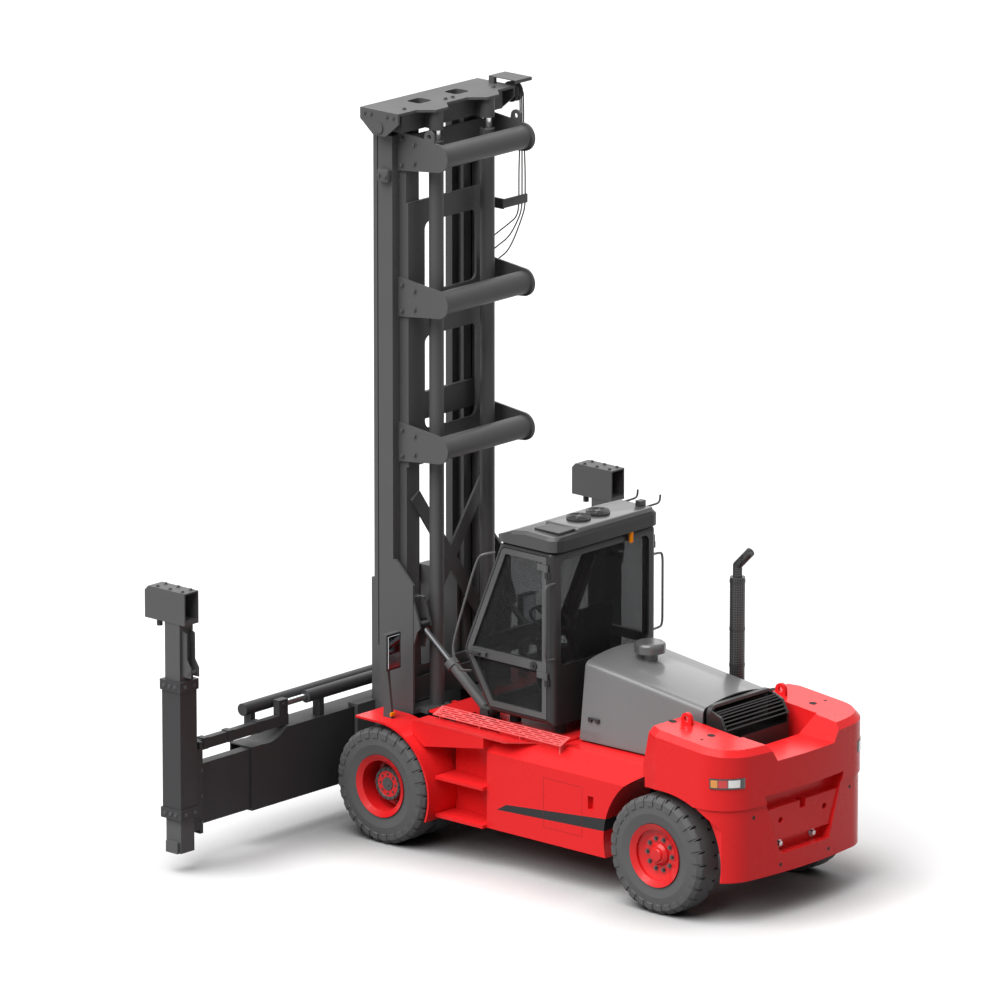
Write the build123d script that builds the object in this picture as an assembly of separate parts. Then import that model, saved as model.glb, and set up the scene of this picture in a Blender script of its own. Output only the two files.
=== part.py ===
from build123d import *
import os
from math import atan2, degrees, hypot

# Empty container handler, in millimetres: +X forward, +Y left, +Z up.
# The origin is on the ground, under the middle of the bounding box.

# Layout of the axles
wheelbase = 3410
rear_overhang = 940        # steered axle to the back of the counterweight
front_reach = 1130         # drive axle to the front of the lock heads
front_x = (wheelbase + rear_overhang - front_reach) / 2
rear_x = front_x - wheelbase

# Fits
run_gap = 0.3              # running clearance at pins, bushes and rollers
seat_gap = 0.3             # clearance round glass and other pieces let in flush
move_gap = 10              # room between moving pieces

# Wheels and tyres
tyre_radius = 560
tyre_width = 310
bead_radius = 262          # where tyre and rim meet
flange_radius = 300
rim_wall = 18
front_wheel_y = 945        # middle of the outer front tyre
dual_spacing = 360         # from the outer to the inner front tyre
rear_wheel_y = 915
spindle_radius = 70
front_hub_radius = 165
rear_hub_radius = 105
axle_z = tyre_radius
lug_count = 28             # blocks round each shoulder
lug_depth = 34
lug_groove = 30            # width of a groove at the tread
lug_length = 100           # groove, from the shoulder inwards

# Axles and steering
axle_housing_radius = 150
axle_housing_end_y = 400   # drive axle housing, inside the inner front tyres
axle_tube_radius = 110
axle_pad = 35              # height of the pads that carry the frame
kingpin_y = 650
kingpin_radius = 32
knuckle_height = 190
knuckle_half_depth = 62
yoke_plate = 40
steer_beam_half_depth = 105

# Chassis frame
rail_inner_y = 300
rail_outer_y = 390
rail_bottom = 600
frame_top = 1150
rail_front = front_x - 230
rail_back = rear_x + 800
spine_half_width = 220     # narrow between the steered wheels
spine_bottom = 770
spine_back = rear_x - 560
lug_inner_y = 205          # plates that carry the mast's pivot pins
lug_outer_y = 250
mast_pivot_x = front_x + 240
mast_pivot_z = 640
mast_pin_radius = 40
mast_boss_radius = 75
axle_pad_top = axle_z + axle_housing_radius + axle_pad

# Body sides, deck and fenders
body_y = 950               # outer face of the body side
tank_inner_y = 400
tank_bottom = 370
tank_front = front_x - 1230
tank_back = rear_x + 240   # seam to the counterweight
shoulder_z = 1110          # lower edge of the sloping shoulder
shoulder_y = 780
deck_z = 1280
deck_plate = 20
deck_front = front_x - 330
deck_back = front_x - 1980
arch_radius = 725          # clears the rear wheel at full steer
arch_lip_half = 820        # the lip outside it is a flat oval
arch_lip_height = 655
arch_lip_y = 965
fender_gap = 65            # tyre to fender
fender_plate = 20
fender_inner_y = 730          # clear of the mast
guard_inner_y = 425           # behind the mast it covers both tyres
guard_front = front_x - 330
fender_outer_y = 1112
fender_lip = 290           # how far the fender runs ahead of the axle
fender_bottom = 330
step_plate = 30
step_heights = [tank_bottom, 740]
step_outer_y = 1010
step_wall_y = 700

mirror_y = 950

# Counterweight
weight_front = rear_x + 240
weight_back = rear_x - rear_overhang
weight_half_width = 1050
weight_foot_z = 1350       # where the front face starts to lean back
weight_peak_z = 1765       # top of the front face
weight_peak_x = rear_x + 110
weight_back_z = 1665       # top at the rear
weight_bottom = 420
weight_crease_z = 1115     # the skirt below is set in a little
weight_inset = 14
weight_flare = 230         # length over which it widens behind the seam
weight_side_end = rear_x - 515
weight_tail_y = 730        # half-width where the rear corner ends
weight_bow = 55            # bulge of the rear face
weight_bevel = 55
well_half_width = 545      # opening round the grille
well_back = rear_x - 430
notch_z = 1510             # dip in the rear wall
notch_bottom_y = 400
notch_top_y = 620
recess_top_z = 1200        # recess in the rear face
recess_bottom_z = 605
recess_top_y = 560
recess_bottom_y = 345
recess_depth = 150
tow_plate_top = 1045
tow_plate_bottom = 730
tow_plate_set_back = 55
tow_hole_y = 310
tow_hole_z = 915
tow_hole_radius = 30
eye_x = rear_x - 50
eye_y = 665
eye_radius = 60
eye_bore = 28
eye_plate = 36
lamp_z = 1375
lamp_height = 100
lamp_proud = 8
eye_z = 1800

# Cab
cab_half_width = 730
cab_wall = 50
cab_floor_z = 1420
cab_knee_z = 1970
cab_top_z = 3100
cab_back = front_x - 1860
cab_toe_x = front_x - 1040      # lower front corner
cab_knee_x = front_x - 710
cab_brow_x = front_x - 1190     # top of the windscreen
cab_corners = [                 # (x, z, radius) of the rounded corners seen from the side
    (cab_toe_x, cab_floor_z, 70),
    (cab_knee_x, cab_knee_z, 160),
    (cab_brow_x, cab_top_z, 110),
    (cab_back, cab_top_z, 70),
]
cab_rear_corner = 62            # radius of the rear corners in plan
door_border = 50                # front post, sill and header round a door
rear_post = 75
pane_corner = 70
door_gap = 8
door_frame = 55
door_rail_z = 1930              # cross rail between the two panes
door_rail_height = 90
glass = 8
roof_overhang = 70
roof_height = 150
roof_corner = 130
roof_bevel = 30
hinge_radius = 11
hinge_barrel = 19           # clears the post as the door swings
hinge_height = 60
hinge_heights = [cab_floor_z + 450, cab_top_z - 190]
mount_radius = 55

# Seat and controls
seat_x = front_x - 1500
seat_z = 1900
seat_half_width = 250
wheel_radius = 190
column_x = front_x - 1140

# Hood, engine and exhaust
bulkhead_x = front_x - 1990
bulkhead_plate = 30
hood_front = bulkhead_x - 40
hood_back = rear_x - 70
hood_front_foot = 545           # half-width along the lower edge
hood_back_foot = 505
hood_half_width = 470           # half-width under the shoulders
hood_bottom = 1300
hood_front_z = 2090
hood_back_z = 1910
hood_sheet = 12
hood_shoulder = 70              # radius along the upper edges
hood_crown = 45
hood_pin_radius = 14
hood_ear = 30
hood_boss = 24
hood_ear_y = 300
engine_back = rear_x + 460
engine_half_width = 300
engine_top = 1850
cleaner_x = hood_front - 390
cleaner_radius = 150
cleaner_height = 175
exhaust_x = rear_x + 460
exhaust_y = -625
exhaust_radius = 72
exhaust_top = 2800
grille_back = rear_x - 330
grille_half_width = hood_half_width - hood_sheet - move_gap
grille_low = 1590
grille_corner = 85
hoop_width = 28
hoop_depth = 50
grille_slats = 7
slat_depth = 62
slat = 12
door_hinge_x = cab_back + rear_post - 10
door_hinge_y = cab_half_width + 22
hood_pin_x = hood_front + 18
hood_pin_z = hood_front_z - hood_crown - 45

# Mast rails: the outer pair is a channel that opens inwards, with a stepped back
rail_back_x = front_x + 107
rail_step_x = front_x + 190
rail_web_front = front_x + 330
rail_front_x = front_x + 370
rail_tip_y = 420           # inner edge of the flanges
rail_waist_y = 590
rail_face_y = 690
rail_start = 1230          # above the front tyres
rail_top = 6740
foot_inner_y = 262
foot_outer_y = 405
foot_bottom = 330
foot_back_x = front_x + 200
foot_front_x = front_x + 410
foot_top = 1240

# Cross tubes and their side plates
tube_heights = [rail_top - 2950, rail_top - 1550, rail_top - 150]
tube_x = front_x - 300
tube_radius = 110
tube_plate = 22
plate_front_half = 190
plate_back_half = 135       # round end, about the tube
ear_x = front_x - 205       # lifting ear on the top plates
ear_z = rail_top + 35

# Inner mast
inner_start = 1300
inner_back_x = front_x + 200
inner_front_x = front_x + 430
inner_face_y = 310
inner_flange_x = front_x + 382
inner_flange_start = 1790
channel_back_x = front_x + 235
channel_front_x = front_x + 345
channel_depth = 75
head_bottom = rail_top + 50
head_top = head_bottom + 210
head_plate = 24             # top and end plates of the crosshead
head_half_length = 815
head_web_half = 700
head_hole_y = 260           # middle of a hand hole
head_back_x = front_x + 0
head_front_x = front_x + 480

# Hose sheave at the right end of the crosshead, under its cover
sheave_x = front_x + 80
sheave_y = -870
sheave_z = head_top - 75
sheave_radius = 100
sheave_width = 70
cover_front = front_x + 265
cover_back = front_x - 75
cover_y = -965
cover_z = head_top + 62
cover_sheet = 8

# Back sheet of the outer mast and its windows
sheet_depth = 26
sheet_bottom = rail_top - 3190
sheet_top = rail_top - 640
window_half_width = 360
window_corner = 75
windows = [                 # (bottom, top)
    (rail_top - 2860, rail_top - 1960),
    (rail_top - 1540, rail_top - 860),
]
brace_z = 2560
brace_rise = 1400
brace_width = 130

# Lift cylinders
lift_x = front_x - 60
lift_y = 355
lift_radius = 70
lift_rod_radius = 48
lift_seat_z = 1230
lift_barrel_top = rail_top - 60

# Tilt cylinders
tilt_y = 600
tilt_pin_x = front_x - 950
tilt_pin_z = 1370
tilt_eye_x = front_x - 90
tilt_eye_z = 2050
tilt_pin_radius = 28
tilt_radius = 52
tilt_rod_radius = 30
tilt_eye_play = 3          # lets the rod's eye drift round its pin
tilt_ear = 24
tilt_ear_in = -84
tilt_ear_out = 60
tilt_barrel_length = 640

# Carriage
carriage_start = 1370
carriage_top = 2330
carriage_inner_y = 255
carriage_outer_y = 300
carriage_back_x = front_x + 235
carriage_front_x = front_x + 738
carriage_foot_z = 366
roller_heights = [1480, 2210]

# Spreader: main beam with two arms side by side in it
beam_half_length = 2050
beam_shoulder_y = 1570      # where the beam's top curves down
beam_cap_y = 1890
beam_cap = 12
beam_back_x = front_x + 750
beam_wall = 14
arm_thickness = 110
arm_bottom = 400
arm_top = 985
arm_slide_gap = 5
arm_inner_end = 1650       # how far an arm reaches past the middle
arm_end_y = 2780
shelf_half_width = 640

# Lock posts and heads
post_y = 2990
post_half_width = 90
post_back_x = front_x + 690
post_front_x = front_x + 880
post_bottom = 200
sleeve_bottom = 530
sleeve_top = 1870
sleeve_wall = 22
collar = 14
collar_height = 100
bracket_plate = 12          # pair of plates on the post's back
bracket_y = 45
head_box_bottom = 2420
head_box_height = 310
head_box_back = front_x + 620
head_box_front = front_x + front_reach
head_box_half_width = 95
lock_x = front_x + 1030
lock_radius = 28
lock_length = 80

# Spreading cylinders, one for each arm
spread_z = 1310
spread_radius = 60
spread_rod_radius = 32
spread_clevis_y = 1570
spread_barrel_end = 1230
spread_stroke = 3066
beam_top = arm_top + arm_slide_gap + 110
beam_front_x = beam_back_x + 3 * beam_wall + 2 * (arm_thickness + 2 * arm_slide_gap)
inner_outer_y = rail_tip_y - 8
tilt_length = hypot(tilt_eye_x - tilt_pin_x, tilt_eye_z - tilt_pin_z)
tilt_angle = degrees(atan2(tilt_eye_z - tilt_pin_z, tilt_eye_x - tilt_pin_x))


def slab(x0, x1, y0, y1, z0, z1):
    """A box between its limits."""
    middle = Pos((x0 + x1) / 2, (y0 + y1) / 2, (z0 + z1) / 2)
    return middle * Box(x1 - x0, y1 - y0, z1 - z0)


def rod_x(y, z, radius, x0, x1):
    return Pos((x0 + x1) / 2, y, z) * Rot(0, 90, 0) * Cylinder(radius, x1 - x0)


def rod_y(x, z, radius, y0, y1):
    return Pos(x, (y0 + y1) / 2, z) * Rot(90, 0, 0) * Cylinder(radius, y1 - y0)


def rod_z(x, y, radius, z0, z1):
    return Pos(x, y, (z0 + z1) / 2) * Cylinder(radius, z1 - z0)


def side_plate(outline, y0, y1):
    """An (x, z) outline, as points or a face, given its thickness along Y."""
    face = Polygon(*outline, align=None) if isinstance(outline, list) else outline
    return extrude(Plane.XZ.offset(-y0) * face, y1 - y0, dir=(0, 1, 0))


def turned(points, x, z):
    """A ring or disc turned about an axle along Y, from (radius, y) points."""
    return Pos(x, 0, z) * revolve(Polygon(*points, align=None), Axis.Y)


def both_sides(shape):
    """A piece joined to its mirror image across the centre line."""
    return shape + mirror(shape, about=Plane.XZ)


def pair(shape):
    """A piece and its mirror image, kept as separate solids."""
    return Compound(children=[shape, mirror(shape, about=Plane.XZ)])


def tyre(x, y):
    """A traction tyre: rounded walls, with grooves cut in from both shoulders."""
    half = tyre_width / 2
    bead = half - 46
    carcass = turned([
        (bead_radius + seat_gap, -bead), (bead_radius + seat_gap, bead),
        (flange_radius + 5, half - 18), (tyre_radius - 160, half),
        (tyre_radius - 42, half - 12), (tyre_radius, half - 48),
        (tyre_radius, -half + 48), (tyre_radius - 42, -half + 12),
        (tyre_radius - 160, -half), (flange_radius + 5, -half + 18),
    ], 0, 0)
    wedge = side_plate([
        (-lug_groove / 2, tyre_radius + 5), (lug_groove / 2, tyre_radius + 5),
        (0, tyre_radius - lug_depth),
    ], half - lug_length, half + 5)
    pitch = 360 / lug_count
    grooves = []
    for i in range(lug_count):
        grooves.append(Rot(0, i * pitch, 0) * wedge)
        grooves.append(Rot(0, (i + 0.5) * pitch, 0) * mirrored(wedge))
    return Pos(x, y, axle_z) * (carcass - grooves)


def rim(x, y):
    """A steel rim: the barrel and its two flanges."""
    seat = tyre_width / 2 - 45
    lip = tyre_width / 2 - 3
    inner = bead_radius - rim_wall
    outline = [
        (bead_radius, -seat), (bead_radius, seat), (flange_radius, seat + 30), (flange_radius, lip),
        (inner, seat + 12), (inner, -seat - 12), (flange_radius, -lip), (flange_radius, -seat - 30),
    ]
    return Pos(0, y, 0) * turned(outline, x, axle_z)


def front_rims():
    """Both rims of the left front pair on one planetary hub."""
    inner_y = front_wheel_y - dual_spacing
    joint_y = front_wheel_y - dual_spacing / 2
    edge = bead_radius - rim_wall / 2
    disc_edge = tyre_width / 2 - 40
    disc = [
        (front_hub_radius - 20, joint_y - 28), (front_hub_radius - 20, joint_y + 28),
        (edge, front_wheel_y - disc_edge + 12), (edge, front_wheel_y - disc_edge - 10),
        (front_hub_radius + 40, joint_y), (edge, inner_y + disc_edge + 10),
        (edge, inner_y + disc_edge - 12),
    ]
    bore = spindle_radius + run_gap
    hub_face = front_wheel_y + 35
    hub = [
        (bore, joint_y - 30), (front_hub_radius, joint_y - 30), (front_hub_radius, hub_face - 15),
        (front_hub_radius - 18, hub_face), (0, hub_face), (0, hub_face - 60), (bore, hub_face - 60),
    ]
    turned_parts = turned(disc, front_x, axle_z) + turned(hub, front_x, axle_z)
    return rim(front_x, front_wheel_y) + rim(front_x, inner_y) + turned_parts


def rear_rim():
    """The left rear rim with its dished disc, hub and hub cap."""
    edge = bead_radius - rim_wall / 2
    disc_y = rear_wheel_y + 55
    bore = spindle_radius + run_gap
    disc = [
        (rear_hub_radius - 15, disc_y - 12), (rear_hub_radius - 15, disc_y + 12),
        (edge - 70, disc_y + 12), (edge, disc_y + 40), (edge, disc_y + 14), (edge - 60, disc_y - 12),
    ]
    hub = [
        (bore, rear_wheel_y - 90), (rear_hub_radius, rear_wheel_y - 90), (rear_hub_radius, disc_y + 30),
        (rear_hub_radius - 25, disc_y + 55), (0, disc_y + 55), (0, disc_y), (bore, disc_y),
    ]
    return rim(rear_x, rear_wheel_y) + turned(disc, rear_x, axle_z) + turned(hub, rear_x, axle_z)


def drive_axle():
    """The rigid drive axle: housing, differential bowl, tubes, spindles and frame pads."""
    hub_back = front_wheel_y - dual_spacing / 2 - 30
    spindle_end = front_wheel_y + 35 - 60 - run_gap
    housing = rod_y(front_x, axle_z, axle_housing_radius, -axle_housing_end_y, axle_housing_end_y)
    bowl = Pos(front_x - 70, 0, axle_z) * Sphere(axle_housing_radius + 75)
    nose = rod_x(0, axle_z, axle_housing_radius * 0.55, front_x - 420, front_x - 100)
    tube = rod_y(front_x, axle_z, axle_tube_radius, 0, hub_back - move_gap)
    spindle = rod_y(front_x, axle_z, spindle_radius, 0, spindle_end)
    pad = slab(front_x - 110, front_x + 110, lug_inner_y - 5, lug_outer_y + 5,
               axle_z, axle_z + axle_housing_radius + axle_pad)
    return housing + bowl + nose + both_sides(tube + spindle + pad)


def steer_axle():
    """The steered axle: a box beam with a yoke at each end for the knuckle."""
    bore = kingpin_radius + run_gap
    half = knuckle_height / 2 + run_gap
    beam_end = kingpin_y - knuckle_half_depth - 40
    beam = slab(rear_x - steer_beam_half_depth, rear_x + steer_beam_half_depth, 0, beam_end,
                axle_z - half - yoke_plate, axle_z + half + yoke_plate)
    arm = slab(rear_x - 62, rear_x + 62, beam_end - 60, kingpin_y, axle_z + half,
               axle_z + half + yoke_plate)
    arm += rod_z(rear_x, kingpin_y, 62, axle_z + half, axle_z + half + yoke_plate)
    arm += mirror(arm, about=Plane.XY.offset(axle_z))
    arm -= rod_z(rear_x, kingpin_y, bore, 0, 2 * axle_z)
    trunnion = slab(rear_x - 130, rear_x + 130, -spine_half_width + 60, spine_half_width - 60,
                    axle_z + half + yoke_plate, spine_bottom)
    return both_sides(beam + arm) + trunnion


def knuckle():
    """The left knuckle: block on its kingpin, with the wheel spindle."""
    half = knuckle_height / 2
    pin_half = half + yoke_plate
    block = slab(rear_x - knuckle_half_depth, rear_x + knuckle_half_depth,
                 kingpin_y - knuckle_half_depth + 8, kingpin_y + knuckle_half_depth + 12,
                 axle_z - half, axle_z + half)
    pin = rod_z(rear_x, kingpin_y, kingpin_radius, axle_z - pin_half, axle_z + pin_half)
    spindle = rod_y(rear_x, axle_z, spindle_radius, kingpin_y, rear_wheel_y + 55 - run_gap)
    return block + pin + spindle


def chassis_frame():
    """Two side rails, the cross members, the pivot plates and the narrow rear spine."""
    rail = slab(rail_back, rail_front, rail_inner_y, rail_outer_y, rail_bottom, frame_top)
    pivot_plate = side_plate([
        (rail_front - 180, axle_pad_top), (rail_front - 180, frame_top), (front_x - 60, frame_top),
        (mast_pivot_x + mast_boss_radius, mast_pivot_z + 40),
        (mast_pivot_x + mast_boss_radius, mast_pivot_z),
        (mast_pivot_x + 20, mast_pivot_z - mast_boss_radius),
        (mast_pivot_x - 20, mast_pivot_z - mast_boss_radius),
        (mast_pivot_x - 70, mast_pivot_z), (mast_pivot_x - 90, axle_pad_top),
    ], lug_inner_y, lug_outer_y)
    pivot_pin = rod_y(mast_pivot_x, mast_pivot_z, mast_pin_radius, lug_inner_y, foot_outer_y)
    front_cross = slab(rail_front - 180, rail_front, -rail_outer_y, rail_outer_y, axle_pad_top,
                       frame_top)
    rear_cross = slab(rail_back - 20, rail_back + 120, -rail_outer_y, rail_outer_y, spine_bottom,
                      frame_top)
    spine = slab(spine_back, rail_back + 120, -spine_half_width, spine_half_width, spine_bottom,
                 frame_top)
    anchor = side_plate([
        (tilt_pin_x - 90, frame_top), (tilt_pin_x + 90, frame_top), (tilt_pin_x + 45, tilt_pin_z + 40),
        (tilt_pin_x - 45, tilt_pin_z + 40),
    ], 0, tilt_ear)
    ears = Compound(children=[Pos(0, tilt_y + side, 0) * anchor for side in (tilt_ear_in,
                                                                             tilt_ear_out)])
    foot = slab(tilt_pin_x - 90, tilt_pin_x + 90, rail_inner_y, tilt_y + tilt_ear_out + tilt_ear,
                frame_top - 60, frame_top)
    tilt_pin = rod_y(tilt_pin_x, tilt_pin_z, tilt_pin_radius, tilt_y + tilt_ear_in,
                     tilt_y + tilt_ear_out + tilt_ear)
    return both_sides(rail + pivot_plate + pivot_pin + foot + ears + tilt_pin) + front_cross + rear_cross + spine


def rear_arch(y0, y1):
    return rod_y(rear_x, axle_z, arch_radius, y0, y1)


def side_tank():
    """The left body side: a tank with a sloping shoulder, cut away round the rear wheel."""
    section = Polygon(
        (tank_inner_y, tank_bottom), (body_y, tank_bottom), (body_y, shoulder_z),
        (shoulder_y, deck_z - 30),
        (shoulder_y - 20, deck_z), (tank_inner_y, deck_z), align=None)
    tank = extrude(Plane.YZ.offset(tank_back) * section, tank_front - tank_back, dir=(1, 0, 0))
    slot = slab(front_x - 2560, front_x - 2490, body_y - 60, body_y + 10, 800, 930)
    return tank - rear_arch(spine_half_width, body_y + 50) - slot


def deck():
    """The deck plate between the body sides, on two ribs over the frame rails."""
    plate = slab(deck_back, deck_front, -shoulder_y + 20, shoulder_y - 20, deck_z, deck_z + deck_plate)
    rib = slab(deck_back, rail_front, rail_inner_y, rail_inner_y + 40, frame_top, deck_z)
    openings = slab(tilt_pin_x - 170, tilt_pin_x + 260, tilt_y - 95, tilt_y + 95, deck_z - 1,
                    deck_z + deck_plate + 1)
    return plate + both_sides(rib) - both_sides(openings)


def fender():
    """The left front fender with its inner wall, and two steps up to the deck."""
    inside = tyre_radius + fender_gap
    outside = inside + fender_plate
    hoop = rod_y(front_x, axle_z, outside, guard_inner_y, fender_outer_y)
    hoop -= rod_y(front_x, axle_z, inside, guard_inner_y, fender_outer_y)
    hoop -= slab(guard_front, front_x + outside, 0, fender_inner_y, 0, axle_z + 2 * outside)
    rear_half = slab(front_x - 2 * outside, front_x, 0, 2 * body_y, fender_bottom, axle_z + 2 * outside)
    lip = slab(front_x - 1, front_x + fender_lip, fender_inner_y, fender_outer_y,
               axle_z + inside, axle_z + outside)
    arch = (hoop & rear_half) + lip
    back = tank_front
    front = front_x - inside
    wall = slab(back, front - 5, step_wall_y, step_wall_y + fender_plate, tank_bottom, deck_z)
    web = side_plate([
        (back, deck_z - 130), (back, deck_z - 30), (front_x - 330, deck_z - 30),
        (front_x - 330, axle_z + inside - 60),
        (front_x - 480, axle_z + inside - 160),
    ], shoulder_y, body_y + 50)
    web -= rod_y(front_x, axle_z, inside + 5, 0, 2 * body_y)
    steps = [slab(back, front - 5, step_wall_y, step_outer_y, z, z + step_plate) for z in step_heights]
    hollow = rod_y(front_x, axle_z, inside + 5, 0, 2 * body_y)
    return arch + (wall - hollow) + web + (steps[0] - hollow) + (steps[1] - hollow)


def weight_plan(inset):
    """The counterweight's plan: wider behind the seam, round rear corners and a bowed back."""
    side = weight_half_width - inset
    tail_x = weight_back + weight_bow + inset
    tail_y = weight_tail_y - inset
    flank = [
        Line((weight_front, 0), (weight_front, body_y - inset)),
        Line((weight_front, body_y - inset), (weight_front - weight_flare, side)),
        Line((weight_front - weight_flare, side), (weight_side_end, side)),
        TangentArc((weight_side_end, side), (tail_x, tail_y), tangent=(-1, 0)),
    ]
    back = ThreePointArc((tail_x, tail_y), (weight_back + inset, 0), (tail_x, -tail_y))
    return make_face(flank + [back] + [mirror(edge, about=Plane.XZ) for edge in flank])


def end_plate(outline, x0, x1):
    """A (y, z) outline given its thickness along X."""
    face = Polygon(*outline, align=None) if isinstance(outline, list) else outline
    return extrude(Plane.YZ.offset(x0) * face, x1 - x0, dir=(1, 0, 0))


def trapezoid(low_y, low_z, high_y, high_z):
    return [(-low_y, low_z), (low_y, low_z), (high_y, high_z), (-high_y, high_z)]


def recess_y(z):
    """Half-width of the rear recess at a height."""
    share = (z - recess_bottom_z) / (recess_top_z - recess_bottom_z)
    return recess_bottom_y + share * (recess_top_y - recess_bottom_y)


def weight_body():
    """The casting's outside: a bevelled upper part on a skirt that is set in below the crease."""
    high = weight_peak_z + 100
    upper = extrude(Plane.XY.offset(weight_crease_z) * weight_plan(0), high - weight_crease_z,
                    dir=(0, 0, 1))
    upper -= side_plate([
        (weight_front + 1, weight_foot_z), (weight_peak_x, weight_peak_z),
        (weight_back - 1, weight_back_z),
        (weight_back - 1, high + 1), (weight_front + 1, high + 1),
    ], -2 * weight_half_width, 2 * weight_half_width)
    rim = upper.faces().filter_by(lambda f: f.normal_at().Z > 0.95).sort_by(Axis.Z)[-1].edges()
    upper = chamfer(rim.sort_by(Axis.X)[:-1], weight_bevel)
    skirt = extrude(Plane.XY.offset(weight_bottom) * weight_plan(weight_inset),
                    weight_crease_z - weight_bottom, dir=(0, 0, 1))
    return upper + skirt


def tow_recess():
    """The recess in the rear face, less the bored plate that stands in it."""
    pocket = end_plate(trapezoid(recess_bottom_y, recess_bottom_z, recess_top_y, recess_top_z),
                       weight_back - 10, weight_back + recess_depth)
    plate = end_plate(trapezoid(recess_y(tow_plate_bottom), tow_plate_bottom, recess_y(tow_plate_top),
                                tow_plate_top),
                      weight_back + tow_plate_set_back, weight_back + recess_depth + 1)
    for y in (-tow_hole_y, tow_hole_y):
        plate -= rod_x(y, tow_hole_z, tow_hole_radius, weight_back, weight_back + recess_depth + 2)
    plate -= slab(weight_back, weight_back + recess_depth + 2, -40, 40, tow_plate_top - 75,
                  tow_plate_top + 1)
    return pocket - plate


def counterweight():
    """The cast counterweight: well for the grille, dipped rear wall, arches, tow recess and lifting eyes."""
    high = weight_peak_z + 100
    well = slab(well_back, weight_front + 10, -well_half_width, well_half_width, frame_top, high)
    well += side_plate([(well_back, frame_top + 250), (well_back, high), (well_back - 260, high)],
                       -well_half_width, well_half_width)
    notch = end_plate(trapezoid(notch_bottom_y, notch_z, notch_top_y, high), weight_back - 10,
                      well_back)
    under = slab(rear_x - 600, weight_front + 10, -spine_half_width - 5, spine_half_width + 5,
                 weight_bottom - 10, frame_top)
    lip = side_plate(Pos(rear_x - 60, axle_z - 20) * Ellipse(arch_lip_half, arch_lip_height),
                     arch_lip_y - 1, weight_half_width + 50)
    arches = both_sides(rear_arch(spine_half_width, arch_lip_y) + lip)
    tunnel = rear_arch(-spine_half_width - 20, spine_half_width + 20)
    mass = weight_body() - well - notch - under - arches - tunnel - tow_recess()
    eye = slab(eye_x - eye_radius, eye_x + eye_radius, eye_y - eye_plate / 2, eye_y + eye_plate / 2,
               weight_back_z, eye_z)
    eye += rod_y(eye_x, eye_z, eye_radius, eye_y - eye_plate / 2, eye_y + eye_plate / 2)
    eye -= rod_y(eye_x, eye_z, eye_bore, 0, 2 * eye_y)
    return mass + both_sides(eye)


def tail_lamp():
    """The left tail lamp, bent round the counterweight's rear corner."""
    run = weight_side_end - weight_back - weight_bow
    drop = weight_half_width - weight_tail_y
    corner = (run ** 2 + drop ** 2) / (2 * drop)
    y = weight_half_width - corner
    z0 = lamp_z - lamp_height / 2
    z1 = lamp_z + lamp_height / 2
    strip = rod_z(weight_side_end, y, corner + lamp_proud, z0, z1)
    strip -= rod_z(weight_side_end, y, corner + seat_gap, z0 - 1, z1 + 1)
    return strip & slab(weight_side_end - corner * 0.95, weight_side_end - corner * 0.34, y,
                        2 * weight_half_width, z0, z1)


def mirror_arm():
    """The left mirror on its folded bracket, standing on the fender."""
    base = axle_z + tyre_radius + fender_gap + fender_plate
    bracket = side_plate([
        (front_x - 40, base), (front_x + 70, base), (front_x + 40, base + 480),
        (front_x + 40, base + 800),
        (front_x + 15, base + 800), (front_x + 15, base + 480),
    ], mirror_y - 15, mirror_y + 15)
    glass_box = slab(front_x - 45, front_x + 5, mirror_y - 95, mirror_y + 95, base + 480, base + 830)
    neck = slab(front_x - 5, front_x + 20, mirror_y - 12, mirror_y + 12, base + 600, base + 700)
    return bracket + glass_box + neck


def cab_outline(inset=0.0):
    """The cab's side outline with its rounded corners, drawn in by a wall's thickness."""
    face = Polygon(
        (cab_back, cab_floor_z), (cab_toe_x, cab_floor_z), (cab_knee_x, cab_knee_z),
        (cab_brow_x, cab_top_z), (cab_back, cab_top_z), align=None)
    for x, z, radius in cab_corners:
        face = fillet(face.vertices().sort_by_distance((x, z, 0))[0], radius)
    return offset(face, -inset, kind=Kind.INTERSECTION) if inset else face


def windscreen_cut(shrink):
    """The two panes ahead of the driver, as boxes through the sloping front."""
    side = cab_half_width - 100 - shrink
    upper = slab(cab_back + 300, front_x, -side, side, cab_knee_z + 70 + shrink,
                 cab_top_z - 60 - shrink)
    lower = slab(cab_back + 300, front_x, -side, side, cab_floor_z + 110 + shrink,
                 cab_knee_z - 50 - shrink)
    return upper + lower


def rear_window_cut(shrink):
    """The rear window, with rounded corners."""
    side = cab_half_width - 110 - shrink
    low = cab_knee_z + 20 + shrink
    high = cab_top_z - 90 - shrink
    opening = Pos(0, (low + high) / 2) * RectangleRounded(2 * side, high - low, pane_corner)
    return end_plate(opening, cab_back - 20, cab_back + 200)


def cab_shell():
    """The cab's welded frame: floor, posts, front and rear walls with their windows cut."""
    shell = side_plate(cab_outline(), -cab_half_width, cab_half_width)
    shell = fillet(shell.edges().filter_by(Axis.Z).group_by(Axis.X)[0], cab_rear_corner)
    inner = cab_half_width - cab_wall
    shell -= side_plate(cab_outline(cab_wall), -inner, inner)
    doorway = side_plate(door_face(0), inner - 1, cab_half_width + 1)
    hatch = slab(cab_back + 2 * cab_wall, cab_brow_x - 2 * cab_wall, cab_wall - inner, inner - cab_wall,
                 cab_top_z - 2 * cab_wall, cab_top_z + 1)
    shell = shell - hatch - both_sides(doorway) - windscreen_cut(0) - rear_window_cut(0)
    ears = [hinge_ear(z) for z in hinge_heights]
    return shell + both_sides(ears[0] + ears[1])


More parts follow.
